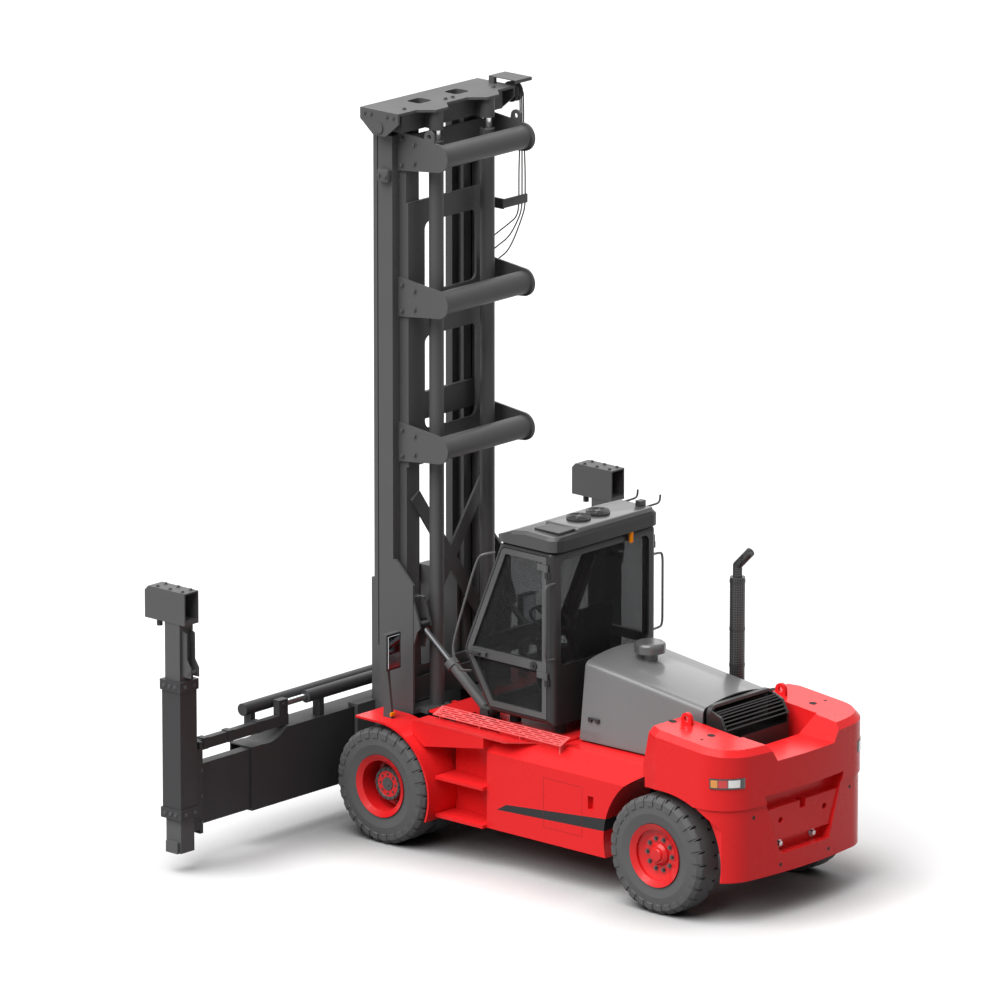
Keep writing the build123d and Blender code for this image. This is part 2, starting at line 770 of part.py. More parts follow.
def hinge_ear(z):
    """A hinge block on the rear post, bored for the door's pin."""
    ear = slab(door_hinge_x - 30, door_hinge_x, cab_half_width - 8, door_hinge_y, z - hinge_height, z)
    ear += rod_z(door_hinge_x, door_hinge_y, hinge_barrel, z - hinge_height, z)
    return ear - rod_z(door_hinge_x, door_hinge_y, hinge_radius + run_gap, z - hinge_height - 1, z + 1)


def door_face(inset):
    """The doorway's outline, drawn in from the cab's; its rear post is broader."""
    edge = cab_back + rear_post + inset
    room = Pos((edge + front_x) / 2, cab_top_z) * Rectangle(front_x - edge, 2 * cab_top_z)
    return cab_outline(door_border + inset) & room


def door_panes(shrink):
    """The upper and lower panes, as plates through the door."""
    face = door_face(door_gap + door_frame + shrink)
    middle = (cab_back + front_x) / 2
    rail = Pos(middle, door_rail_z + door_rail_height / 2)
    rail = rail * Rectangle(front_x - cab_back, door_rail_height + 2 * shrink)
    return side_plate(face - rail, 0, 2 * cab_half_width)


def door():
    """The left door: a tubular frame with a cross rail, hinge leaves, pins and a handle."""
    leaf = side_plate(door_face(door_gap), cab_half_width - cab_wall, cab_half_width) - door_panes(0)
    hinges = []
    for z in hinge_heights:
        base = z + run_gap
        top = base + hinge_height
        strap = slab(door_hinge_x + 14, door_hinge_x + 130, cab_half_width, cab_half_width + 9, base,
                     top)
        web = slab(door_hinge_x, door_hinge_x + 34, door_hinge_y - 17, door_hinge_y, base, top)
        barrel = rod_z(door_hinge_x, door_hinge_y, hinge_barrel, base, top)
        pin = rod_z(door_hinge_x, door_hinge_y, hinge_radius, z - hinge_height, top)
        hinges.append(strap + web + barrel + pin)
    handle = slab(cab_knee_x - 330, cab_knee_x - 150, cab_half_width, cab_half_width + 35,
                  door_rail_z + 25, door_rail_z + 60)
    return leaf + hinges[0] + hinges[1] + handle


def door_glass():
    middle = cab_half_width - cab_wall / 2
    return door_panes(seat_gap) & slab(cab_back, front_x, middle - glass / 2, middle + glass / 2, 0,
                                       2 * cab_top_z)


def cab_glass():
    """Windscreen panes, rear window: sheets let into the middle of the walls."""
    middle = cab_wall / 2
    width = cab_half_width
    layer = side_plate(cab_outline(middle - glass / 2), -width, width)
    layer -= side_plate(cab_outline(middle + glass / 2), -width, width)
    panes = windscreen_cut(seat_gap) + rear_window_cut(seat_gap)
    return layer & panes


def cab_roof():
    """The moulded roof: a crowned lid with rounded corners, lower over the windscreen."""
    front = cab_brow_x + roof_overhang
    back = cab_back - roof_overhang + 20
    width = cab_half_width + 15
    lid = side_plate([
        (front, cab_top_z), (front - 10, cab_top_z + 45),
        (cab_brow_x - 170, cab_top_z + roof_height - 22),
        (cab_brow_x - 330, cab_top_z + roof_height), (back, cab_top_z + roof_height - 15),
        (back, cab_top_z),
    ], -width, width)
    plan = Pos((front + back) / 2, 0) * RectangleRounded(front - back, 2 * width, roof_corner)
    lid &= extrude(Plane.XY.offset(cab_top_z) * plan, roof_height, dir=(0, 0, 1))
    crown = lid.faces().filter_by(lambda f: f.normal_at().Z > 0.7).sort_by(Axis.Z)[-2:]
    rim = [e for face in crown for e in face.edges() if abs(e.center().Y) > width / 2]
    return chamfer(rim, roof_bevel)


def roof_fittings():
    """Two fan housings, the sloping intake and the lamp brackets on the roof."""
    top = cab_top_z + roof_height - 30
    fans = [rod_z(cab_back + 200, y, 115, top, top + 75) for y in (-120, 150)]
    intake = slab(cab_back + 30, cab_back + 330, 360, 620, top, top + 45)
    bracket = slab(cab_back + 60, cab_back + 120, -640, -560, top, top + 110)
    roof = cab_roof()
    return Compound(children=[piece - roof for piece in (*fans, intake, bracket)])


def beacon():
    """The amber lamp under the rear edge of the roof."""
    x = cab_back - roof_overhang / 2 + 5
    return rod_z(x, -330, 22, cab_top_z - 100, cab_top_z)


def cab_mounts():
    """Four rubber mounts between deck and cab floor."""
    spots = [(x, y) for x in (cab_toe_x - 130, cab_back + 130) for y in (-480, 480)]
    return Compound(children=[rod_z(x, y, mount_radius, deck_z + deck_plate, cab_floor_z) for x,
                              y in spots])


def seat():
    """The driver's seat on its pedestal."""
    base = slab(seat_x - 220, seat_x + 200, -200, 200, cab_floor_z + cab_wall, seat_z - 120)
    cushion = slab(seat_x - 250, seat_x + 270, -seat_half_width, seat_half_width, seat_z - 120, seat_z)
    back = side_plate([
        (seat_x - 250, seat_z - 60), (seat_x - 110, seat_z - 60), (seat_x - 190, seat_z + 640),
        (seat_x - 290, seat_z + 640),
    ], -seat_half_width, seat_half_width)
    return base + cushion + back


def steering_console():
    """The pedestal, column and steering wheel."""
    tilt = 25
    pedestal = slab(column_x - 70, column_x + 60, -80, 80, cab_floor_z + cab_wall, 2000)
    top = Pos(column_x - 30, 0, 2190)
    column = top * Rot(0, -tilt, 0) * Pos(0, 0, -130) * Cylinder(35, 300)
    ring = top * Rot(0, -tilt, 0) * Torus(wheel_radius, 16)
    spokes = top * Rot(0, -tilt, 0) * (Box(2 * wheel_radius, 40, 14) + Box(40, 2 * wheel_radius, 14))
    return pedestal + column + ring + spokes


def bulkhead():
    """The wall behind the cab that carries the hood's hinge ears."""
    half = tank_inner_y - 5
    wall = slab(bulkhead_x - bulkhead_plate, bulkhead_x, -half, half, frame_top, hood_pin_z - 45)
    y0 = hood_ear_y
    y1 = hood_ear_y + hood_ear
    ear = slab(hood_pin_x - hood_boss, bulkhead_x, y0, y1, hood_pin_z - 130, hood_pin_z)
    ear += rod_y(hood_pin_x, hood_pin_z, hood_boss, y0, y1)
    ear -= rod_y(hood_pin_x, hood_pin_z, hood_pin_radius + run_gap, 0, hood_half_width)
    return wall + both_sides(ear)


def hood_section(x, inset):
    """The hood's section: leaning sides, round shoulders and a crowned top."""
    share = (x - hood_back) / (hood_front - hood_back)
    foot = hood_back_foot + share * (hood_front_foot - hood_back_foot) - inset
    side = hood_half_width - inset
    top = hood_top_at(x) - inset
    edge = top - hood_crown
    low = hood_bottom - inset
    bend = hood_shoulder - inset
    bow = 0.293 * bend
    return make_face([
        Line((-foot, low), (foot, low)),
        Line((foot, low), (side, edge - bend)),
        ThreePointArc((side, edge - bend), (side - bow, edge - bow), (side - bend, edge)),
        ThreePointArc((side - bend, edge), (0, top), (bend - side, edge)),
        ThreePointArc((bend - side, edge), (bow - side, edge - bow), (-side, edge - bend)),
        Line((-side, edge - bend), (-foot, low)),
    ])


def rounded_hood(inset):
    """A solid hood; drawn in, it runs out at both ends."""
    return loft([Plane.YZ.offset(x) * hood_section(x, inset) for x in (hood_back - inset,
                                                                       hood_front + inset)])


def hood():
    """The pressed hood, open below and at both ends, with its hinge lugs and pins."""
    shell = rounded_hood(0) - rounded_hood(hood_sheet)
    y0 = hood_ear_y + hood_ear + 1
    y1 = hood_ear_y + 2 * hood_ear
    lug = slab(hood_front - 60, hood_pin_x + 20, y0, y1, hood_pin_z - 20, hood_pin_z + 20)
    lug += slab(hood_front - 60, hood_front, y0, y1, hood_pin_z - 20, hood_front_z) & rounded_hood(0)
    pin = rod_y(hood_pin_x, hood_pin_z, hood_pin_radius, hood_ear_y, y1)
    return shell + both_sides(lug + pin)


def air_cleaner():
    """The mushroom pre-cleaner on the hood."""
    z = hood_top_at(cleaner_x - cleaner_radius / 2)
    neck = rod_z(cleaner_x, 0, cleaner_radius * 0.5, z - 20, z + cleaner_height * 0.5)
    cap = rod_z(cleaner_x, 0, cleaner_radius, z + cleaner_height * 0.45, z + cleaner_height)
    cap = fillet(cap.edges().group_by(Axis.Z)[-1], 40)
    return neck + cap - rounded_hood(0)


def hood_top_at(x):
    return hood_back_z + (x - hood_back) / (hood_front - hood_back) * (hood_front_z - hood_back_z)


def engine():
    return slab(engine_back, bulkhead_x - bulkhead_plate - 60, -engine_half_width, engine_half_width,
                frame_top, engine_top)


def exhaust():
    """The upright exhaust with its bent tip, on a foot at the deck's edge."""
    stack = rod_z(exhaust_x, exhaust_y, exhaust_radius, deck_z, exhaust_top)
    pipe = exhaust_radius * 0.62
    riser = rod_z(exhaust_x, exhaust_y, pipe, exhaust_top, exhaust_top + 110)
    bend = Pos(exhaust_x, exhaust_y, exhaust_top + 110)
    tip = bend * Rot(0, -45, 0) * Pos(0, 0, 110) * Cylinder(pipe, 220)
    foot = slab(exhaust_x - 110, exhaust_x + 110, exhaust_y - 110, exhaust_y + 70, deck_z, deck_z + 20)
    return stack + riser + bend * Sphere(pipe) + tip + foot


def rear_grille():
    """The air outlet behind the hood: a rounded hoop, two cheeks and a curved row of slats."""
    front = hood_back - 25
    back = front - hoop_depth
    top = hood_back_z - 20
    side = grille_half_width
    outer = Polygon(*trapezoid(side, grille_low, side, top), align=None)
    outer = fillet(outer.vertices().group_by(Axis.Y)[-1], grille_corner)
    hoop = end_plate(outer - offset(outer, -hoop_width, kind=Kind.INTERSECTION), back, front)
    cheek = side_plate([
        (back, grille_low), (back, top - 45), (back - 120, top - 90), (grille_back, grille_low + 80),
        (grille_back, grille_low),
    ], side - hoop_width, side)
    body = hoop + both_sides(cheek)
    for i in range(grille_slats):
        share = (i + 0.5) / grille_slats
        x = back - share * (back - grille_back)
        z = top - 70 - share ** 1.6 * (top - grille_low - 140)
        body += Pos(x, 0, z) * Rot(0, 28, 0) * Box(slat_depth, 2 * side - hoop_width, slat)
    core = slab(grille_back, front, -side, side, frame_top, grille_low)
    return body + core


def outer_rails():
    """The left outer rail with its foot, tilt gusset and cylinder seat."""
    section = Polygon(
        (rail_back_x, rail_tip_y), (rail_step_x, rail_tip_y), (rail_step_x, rail_waist_y - 20),
        (rail_web_front, rail_waist_y - 20), (rail_web_front, rail_tip_y), (rail_front_x, rail_tip_y),
        (rail_front_x, rail_face_y), (rail_step_x, rail_face_y), (rail_step_x, rail_waist_y),
        (rail_back_x, rail_waist_y), align=None)
    rail = extrude(Plane.XY.offset(rail_start) * section, rail_top - rail_start, dir=(0, 0, 1))
    foot = slab(foot_back_x, foot_front_x, foot_inner_y, foot_outer_y, foot_bottom, foot_top)
    foot += rod_y(mast_pivot_x, mast_pivot_z, mast_boss_radius, foot_inner_y, foot_outer_y)
    foot -= rod_y(mast_pivot_x, mast_pivot_z, mast_pin_radius + run_gap, 0, body_y)
    bridge = slab(rail_back_x, foot_front_x - 60, foot_inner_y, rail_face_y, rail_start - 40, foot_top)
    cylinder_seat = slab(lift_x - 95, rail_back_x + 20, foot_inner_y, rail_waist_y, lift_seat_z - 40,
                         lift_seat_z)
    gusset = side_plate([
        (rail_step_x, rail_start - 40), (rail_step_x, 2660), (rail_back_x + 50, 2660),
        (front_x - 60, 2450),
        (front_x - 60, rail_start - 40),
    ], rail_face_y - 26, rail_face_y)
    web = slab(front_x - 60, rail_step_x, rail_waist_y, rail_face_y, rail_start - 40, rail_start)
    return rail + foot + bridge + cylinder_seat + gusset + web + tilt_ears()


def tilt_ears():
    """Two ears behind the rail, with the pin that the rod's eye hangs on."""
    outline = [
        (front_x - 50, tilt_eye_z + 260), (front_x - 50, tilt_eye_z - 230),
        (tilt_eye_x - 15, tilt_eye_z - 55),
        (tilt_eye_x - 55, tilt_eye_z - 10), (tilt_eye_x - 40, tilt_eye_z + 45),
    ]
    ears = side_plate(outline, tilt_y + tilt_ear_in, tilt_y + tilt_ear_in + tilt_ear)
    ears += side_plate(outline, tilt_y + tilt_ear_out, tilt_y + tilt_ear_out + tilt_ear)
    root = slab(front_x - 60, rail_back_x, tilt_y + tilt_ear_in, rail_face_y, tilt_eye_z - 230,
                tilt_eye_z + 260)
    root -= slab(front_x - 61, front_x - 20, tilt_y + tilt_ear_in + tilt_ear, tilt_y + tilt_ear_out, 0,
                 rail_top)
    pin = rod_y(tilt_eye_x, tilt_eye_z, tilt_pin_radius, tilt_y + tilt_ear_in,
                tilt_y + tilt_ear_out + tilt_ear)
    return ears + root + pin


def cross_tubes():
    """Three thick tubes, each between two round-ended side plates on the rails."""
    tubes = []
    for z in tube_heights:
        face = Polygon(
            (rail_step_x, z - plate_front_half), (rail_step_x, z + plate_front_half),
            (tube_x, z + plate_back_half), (tube_x, z - plate_back_half), align=None)
        face += Pos(tube_x, z) * Circle(plate_back_half)
        if z == tube_heights[-1]:
            face += Pos(ear_x, ear_z) * Circle(62)
            face += Polygon((ear_x - 62, z), (ear_x + 90, z), (ear_x + 62, ear_z), (ear_x - 62, ear_z),
                            align=None)
            face -= Pos(ear_x, ear_z + 5) * Circle(24)
        plate = side_plate(face, rail_waist_y, rail_waist_y + tube_plate)
        tube = rod_y(tube_x, z, tube_radius, -rail_waist_y, rail_waist_y)
        tubes.append(both_sides(plate) + tube)
    return Compound(children=tubes)


def mast_bracing():
    """The back sheet with its windows, the end plates and the cross brace between the outer rails."""
    back = rail_back_x - sheet_depth
    bracing = slab(back, rail_back_x, -rail_waist_y, rail_waist_y, sheet_bottom, sheet_top)
    for low, high in windows:
        opening = Pos(0, (low + high) / 2) * RectangleRounded(2 * window_half_width, high - low,
                                                              window_corner)
        bracing -= end_plate(opening, back - 1, rail_back_x + 1)
    for z0, z1 in ((rail_start + 30, rail_start + 250), (rail_top - 320, rail_top)):
        bracing += slab(back, rail_back_x, -rail_waist_y, rail_waist_y, z0, z1)
    run = 2 * rail_tip_y + 140
    length = hypot(run, brace_rise)
    angle = degrees(atan2(brace_rise, run))
    middle = Pos(rail_back_x - sheet_depth / 2, 0, brace_z)
    cross = middle * Rot(angle, 0, 0) * Box(sheet_depth, length, brace_width)
    cross += middle * Rot(-angle, 0, 0) * Box(sheet_depth, length, brace_width)
    return bracing + (cross & slab(back, rail_back_x, -rail_waist_y, rail_waist_y, 0, rail_top))


def lift_barrel():
    bore = lift_rod_radius + run_gap
    barrel = rod_z(lift_x, lift_y, lift_radius, lift_seat_z, lift_barrel_top)
    return barrel - rod_z(lift_x, lift_y, bore, lift_seat_z + 60, lift_barrel_top + 1)


def lift_rod():
    return rod_z(lift_x, lift_y, lift_rod_radius, lift_seat_z + 60 + move_gap, head_bottom)


def inner_rail():
    """The left inner rail: a channel for the carriage, with a broad front flange and a foot roller."""
    section = Polygon(
        (inner_back_x, inner_face_y), (channel_back_x, inner_face_y),
        (channel_back_x, inner_face_y + channel_depth),
        (channel_front_x, inner_face_y + channel_depth), (channel_front_x, inner_face_y),
        (inner_front_x, inner_face_y), (inner_front_x, inner_outer_y), (inner_back_x, inner_outer_y),
        align=None)
    rail = extrude(Plane.XY.offset(inner_start) * section, head_bottom - inner_start, dir=(0, 0, 1))
    flange = slab(inner_flange_x, inner_front_x, inner_face_y, rail_face_y, inner_flange_start,
                  head_bottom)
    roller_x = (rail_step_x + rail_web_front) / 2
    roller = rod_y(roller_x, inner_start + 160, (rail_web_front - rail_step_x) / 2 - run_gap,
                   inner_outer_y - 5, rail_waist_y - 20 - move_gap)
    return rail + flange + roller


def inner_ties():
    """Cross plates behind the carriage that tie the two inner rails."""
    plates = [slab(inner_back_x - 40, inner_back_x, -inner_outer_y, inner_outer_y, z, z + 260)
              for z in (inner_start, 3950, head_bottom - 420)]
    return Compound(children=plates)


def crosshead():
    """The head beam: a plate with two hand holes over a box, eared over the rods, with tapered ends."""
    plate = slab(head_back_x, head_front_x, -head_half_length, head_half_length, head_top - head_plate,
                 head_top)
    box = slab(head_back_x + 60, head_front_x - 60, -head_web_half, head_web_half, head_bottom,
               head_top - head_plate)
    ear = extrude(Plane.XY.offset(head_top - head_plate) * Polygon(
        (head_back_x, lift_y - 210), (lift_x - 75, lift_y - 85), (lift_x - 75, lift_y + 85),
        (head_back_x, lift_y + 210),
        align=None), head_plate, dir=(0, 0, 1))
    boss = rod_z(lift_x, lift_y, lift_radius, head_bottom, head_top - head_plate)
    rib = slab(lift_x, head_back_x + 61, lift_y - 20, lift_y + 20, head_bottom, head_top - head_plate)
    end = side_plate([
        (head_back_x, head_top), (head_front_x, head_top), (head_front_x, head_top - 105),
        (head_front_x - 165, head_bottom - 30), (head_back_x + 165, head_bottom - 30),
        (head_back_x, head_top - 105),
    ], head_half_length - head_plate, head_half_length)
    pin_x = (head_back_x + head_front_x) / 2
    end += rod_y(pin_x, head_bottom + 45, 52, head_web_half - 10, head_half_length + 14)
    hole = Pos(pin_x, head_hole_y) * RectangleRounded(170, 190, 40)
    hole = extrude(Plane.XY.offset(head_bottom - 1) * hole, head_top - head_bottom + 2, dir=(0, 0, 1))
    return plate + box + both_sides(ear + boss + rib + end) - both_sides(hole)


def hose_sheave():
    """The grooved sheave on its pin, and the bent cover over it, on the crosshead's right end."""
    edge = sheave_width / 2
    wheel = Pos(0, sheave_y, 0) * turned([
        (0, -edge), (sheave_radius, -edge), (sheave_radius, -edge + 8),
        (sheave_radius - 28, -edge + 20),
        (sheave_radius - 28, edge - 20), (sheave_radius, edge - 8), (sheave_radius, edge), (0, edge),
    ], sheave_x, sheave_z)
    pin = rod_y(sheave_x, sheave_z, 24, sheave_y - edge - 12, -head_half_length)
    cover = side_plate([
        (cover_front, cover_z), (cover_front, cover_z + cover_sheet),
        (cover_back, cover_z + cover_sheet),
        (cover_back, cover_z - 25), (cover_back + cover_sheet, cover_z - 25),
        (cover_back + cover_sheet, cover_z),
    ], cover_y, -head_half_length + 80)
    post = slab(sheave_x + 120, cover_front, -head_half_length + 40, -head_half_length + 80, head_top,
                cover_z)
    return wheel + pin + cover + post


def tilt_barrel():
    """A tilt cylinder's barrel, lying along +X from its pin, with its eye."""
    eye_half = tilt_ear_out - 4
    barrel = rod_x(0, 0, tilt_radius, 60, tilt_barrel_length)
    barrel += rod_x(0, 0, tilt_radius + 14, tilt_barrel_length - 70, tilt_barrel_length)
    eye = rod_y(0, 0, 52, -eye_half, eye_half) + slab(0, 70, -eye_half, eye_half, -40, 40)
    bore = rod_x(0, 0, tilt_rod_radius + run_gap, 110, tilt_barrel_length + 1)
    return barrel + eye - rod_y(0, 0, tilt_pin_radius + run_gap, -100, 100) - bore


def tilt_rod():
    """The tilt cylinder's rod with its eye, lying along +X from the barrel's pin."""
    eye_half = tilt_ear_out - 6
    rod = rod_x(0, 0, tilt_rod_radius, tilt_barrel_length - 390, tilt_length - 50)
    eye = rod_y(tilt_length, 0, 62, -eye_half, eye_half)
    eye -= rod_y(tilt_length, 0, tilt_pin_radius + tilt_eye_play, -100, 100)
    return rod + eye


def tilted(shape):
    """Lays a cylinder from its chassis pin up to the mast, on both sides."""
    return pair(Pos(tilt_pin_x, tilt_y, tilt_pin_z) * Rot(0, -tilt_angle, 0) * shape)


def carriage():
    """The carriage: roller plates in the mast, front posts, cross plates and the spreader's shelf."""
    plate = slab(carriage_back_x, carriage_front_x, carriage_inner_y, carriage_outer_y, carriage_start,
                 carriage_top)
    roller_x = (channel_back_x + channel_front_x) / 2
    radius = (channel_front_x - channel_back_x) / 2 - run_gap
    for z in roller_heights:
        plate += rod_y(roller_x, z, radius, carriage_outer_y - 5,
                       inner_face_y + channel_depth - move_gap)
    post = slab(inner_front_x + move_gap, carriage_front_x, carriage_inner_y, carriage_outer_y + 95,
                carriage_foot_z, carriage_top)
    cross = [slab(carriage_front_x - 40, carriage_front_x, -carriage_inner_y, carriage_inner_y, z,
                  z + 200)
             for z in (450, 1150, carriage_top - 200)]
    apron = slab(carriage_front_x - 40, carriage_front_x, -shelf_half_width, shelf_half_width,
                 carriage_foot_z, beam_top - 60)
    shelf = slab(carriage_front_x - 40, beam_front_x - 40, -shelf_half_width, shelf_half_width,
                 carriage_foot_z - 20, arm_bottom - beam_wall - run_gap - arm_slide_gap)
    keeper = slab(carriage_front_x - 40, beam_back_x + 70, -shelf_half_width, shelf_half_width,
                  beam_top + run_gap, beam_top + 30)
    keeper_web = slab(carriage_front_x - 40, carriage_front_x, -shelf_half_width, shelf_half_width,
                      beam_top - 70, beam_top + 30)
    body = both_sides(plate + post) + apron + shelf + keeper + keeper_web
    for piece in cross:
        body += piece
    return body


def arm_x(side):
    """Back face of an arm: the left one runs behind the right one."""
    step = arm_thickness + 2 * arm_slide_gap + beam_wall
    return beam_back_x + beam_wall + arm_slide_gap + (0 if side > 0 else step)


def beam_shoulder():
    """What the hollow curve at the beam's left end takes off its top."""
    low = arm_top + arm_slide_gap + beam_cap
    end = beam_half_length + 1
    curve = ThreePointArc((beam_shoulder_y, beam_top), (beam_shoulder_y + 148, low + 12),
                          (beam_cap_y, low))
    outline = make_face([
        curve,
        Line((beam_cap_y, low), (end, low)),
        Line((end, low), (end, beam_top + 1)),
        Line((end, beam_top + 1), (beam_shoulder_y, beam_top + 1)),
        Line((beam_shoulder_y, beam_top + 1), (beam_shoulder_y, beam_top)),
    ])
    return end_plate(outline, beam_back_x - 1, beam_front_x + 1)


def main_beam():
    """The spreader's box beam with a chamber for each arm and a hollow curve at each end."""
    beam = slab(beam_back_x, beam_front_x, -beam_half_length, beam_half_length,
                arm_bottom - arm_slide_gap - beam_wall, beam_top)
    for side in (1, -1):
        back = arm_x(side) - arm_slide_gap
        front = arm_x(side) + arm_thickness + arm_slide_gap
        beam -= slab(back, front, -beam_half_length - 1, beam_half_length + 1,
                     arm_bottom - run_gap, arm_top + arm_slide_gap)
    return beam - both_sides(beam_shoulder())


def spread_barrel():
    """The left arm's cylinder barrel on the beam, with its two saddles."""
    x = arm_x(1) + arm_thickness / 2
    far = spread_barrel_end - spread_stroke - 120
    barrel = rod_y(x, spread_z, spread_radius, far, spread_barrel_end)
    for y in (far + 100, spread_barrel_end - 180):
        barrel += slab(x - 45, x + 45, y - 30, y + 30, beam_top, spread_z)
    return barrel - rod_y(x, spread_z, spread_rod_radius + run_gap, far + 60, spread_barrel_end + 1)


def spread_barrels():
    """Both spreading cylinders; the right one is the left one turned about the vertical."""
    left = spread_barrel()
    return Compound(children=[left, turned_arm(left)])


def turned_arm(shape):
    """The right arm's pieces: the left ones mirrored, then moved to their own chamber."""
    return Pos(arm_x(-1) - arm_x(1), 0, 0) * mirror(shape, about=Plane.XZ)


def arm():
    """The left telescopic arm, with the banded tube that its cylinder pushes by a clevis."""
    x0 = arm_x(1)
    x1 = x0 + arm_thickness
    box = slab(x0, x1, -arm_inner_end, arm_end_y, arm_bottom, arm_top)
    box -= slab(x0 + 16, x1 - 16, -arm_inner_end - 1, arm_end_y - 40, arm_bottom + 16, arm_top - 16)
    tube = slab(x0 + 20, x1 - 20, spread_clevis_y - 70, arm_end_y, beam_top + 8, beam_top + 110)
    for y in (1900, 2300, 2640):
        tube += slab(x0 + 10, x1 - 10, y - 35, y + 35, beam_top + 8, beam_top + 120)
    middle = (x0 + x1) / 2
    clevis = side_plate([
        (middle - 38, beam_top + 60), (middle + 38, beam_top + 60), (middle + 38, spread_z + 50),
        (middle - 38, spread_z + 50),
    ], spread_clevis_y - 60, spread_clevis_y + 60)
    pin = rod_x(spread_clevis_y, spread_z + 5, 22, middle - 52, middle + 52)
    return box + tube + clevis + pin


def spread_rod():
    x = arm_x(1) + arm_thickness / 2
    return rod_y(x, spread_z, spread_rod_radius, spread_barrel_end - spread_stroke - 50,
                 spread_clevis_y - 60)


def post_ring(wall, z0, z1):
    """A block round the lock post."""
    reach = post_half_width + wall
    return slab(post_back_x - wall, post_front_x + wall, post_y - reach, post_y + reach, z0, z1)


def arm_end():
    """The left end plate with the collared sleeve for its lock post."""
    plate = slab(post_back_x, beam_front_x, arm_end_y, arm_end_y + 40, arm_bottom - 60, beam_top + 130)
    link = slab(post_back_x, post_front_x, arm_end_y, post_y, arm_bottom - 20, beam_top + 60)
    sleeve = post_ring(sleeve_wall, sleeve_bottom, sleeve_top)
    sleeve += post_ring(sleeve_wall + collar, sleeve_bottom, sleeve_bottom + collar_height)
    sleeve += post_ring(sleeve_wall + collar, sleeve_top - collar_height, sleeve_top)
    return plate + sleeve + link - post_ring(seat_gap, 0, head_top)


def post_bracket():
    """The pair of stepped plates on the post's back, with their pin."""
    low = sleeve_top + 45
    top = head_box_bottom - 60
    plate = side_plate([
        (post_back_x, top), (post_back_x - 60, top - 30), (post_back_x - 60, low + 165),
        (post_back_x - 110, low + 90),
        (post_back_x - 110, low), (post_back_x, low),
    ], post_y + bracket_y, post_y + bracket_y + bracket_plate)
    plate += Pos(0, -2 * bracket_y - bracket_plate, 0) * plate
    return plate + rod_y(post_back_x - 75, low + 45, 18, post_y - bracket_y - 20,
                         post_y + bracket_y + 20)


def lock_post():
    """The left lock post with its head: an open-backed box with the lock pin under its front."""
    post = post_ring(0, post_bottom, head_box_bottom + 40)
    side = head_box_half_width
    top = head_box_bottom + head_box_height
    head = slab(head_box_back, head_box_front, post_y - side, post_y + side, head_box_bottom, top)
    head -= slab(head_box_back - 1, head_box_front - 60, post_y - side + 14, post_y + side - 14,
                 head_box_bottom + 40, top - 14)
    head = chamfer(head.edges().filter_by(Axis.Y).group_by(Axis.X)[-1].group_by(Axis.Z)[-1], 45)
    lock = rod_z(lock_x, post_y, lock_radius, head_box_bottom - lock_length, head_box_bottom + 10)
    outer = post_y + post_half_width
    foot = slab(post_back_x + 20, post_front_x - 20, outer - 1, outer + 30, post_bottom,
                post_bottom + 110)
    return post + head + lock + foot + post_bracket()


def mirrored(shape):
    return mirror(shape, about=Plane.XZ)


# Every node, by the body that carries it
nodes = {
    # chassis
    "chassis_frame": chassis_frame(),
    "drive_axle": drive_axle(),
    "steer_axle": steer_axle(),
    "side_tanks": pair(side_tank()),
    "deck_plate": deck(),
    "fenders": pair(fender()),
    "counterweight": counterweight(),
    "tail_lamps": pair(tail_lamp()),
    "engine_bulkhead": bulkhead(),
    "engine_block": engine(),
    "rear_grille": rear_grille(),
    "exhaust_stack": exhaust(),
    "cab_mounts": cab_mounts(),
    "cab_shell": cab_shell(),
    "cab_glass": cab_glass(),
    "cab_roof": cab_roof(),
    "roof_fittings": roof_fittings(),
    "amber_lamp": beacon(),
    "operator_seat": seat(),
    "steering_console": steering_console(),
    "mirrors": pair(mirror_arm()),
    # hood
    "hood": hood(),
    "air_precleaner": air_cleaner(),
    # mast
    "outer_mast_frame": both_sides(outer_rails()) + mast_bracing(),
    "cross_tubes": cross_tubes(),
    "lift_barrels": pair(lift_barrel()),
    "inner_mast_frame": both_sides(inner_rail()) + inner_ties(),
    "crosshead": crosshead() + hose_sheave(),
    "lift_rods": pair(lift_rod()),
    "tilt_barrels": tilted(tilt_barrel()),
    "tilt_rods": tilted(tilt_rod()),
    # carriage and spreader
    "carriage": carriage(),
    "spreader_beam": main_beam(),
    "spread_barrels": spread_barrels(),
}
left_nodes = {
    "front_tyres": Compound(children=[tyre(front_x, y) for y in (front_wheel_y,
                                                                 front_wheel_y - dual_spacing)]),
    "front_rims": front_rims(),
    "knuckle": knuckle(),
    "rear_tyre": tyre(rear_x, rear_wheel_y),
    "rear_rim": rear_rim(),
    "door": door(),
    "door_glass": door_glass(),
    "lock_post": lock_post(),
}
for name, shape in left_nodes.items():
    nodes[name + "_left"] = shape
    nodes[name + "_right"] = mirrored(shape)
nodes["spreader_arm_left"] = arm() + arm_end()
nodes["spreader_arm_right"] = turned_arm(arm()) + mirrored(arm_end())
nodes["spread_rod_left"] = spread_rod()
nodes["spread_rod_right"] = turned_arm(spread_rod())

os.makedirs("parts", exist_ok=True)
for name, shape in nodes.items():
    export_step(shape, f"parts/{name}.step")
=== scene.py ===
import math

import bmesh
import bpy
from mathutils import Matrix, Vector
from mathutils.bvhtree import BVHTree


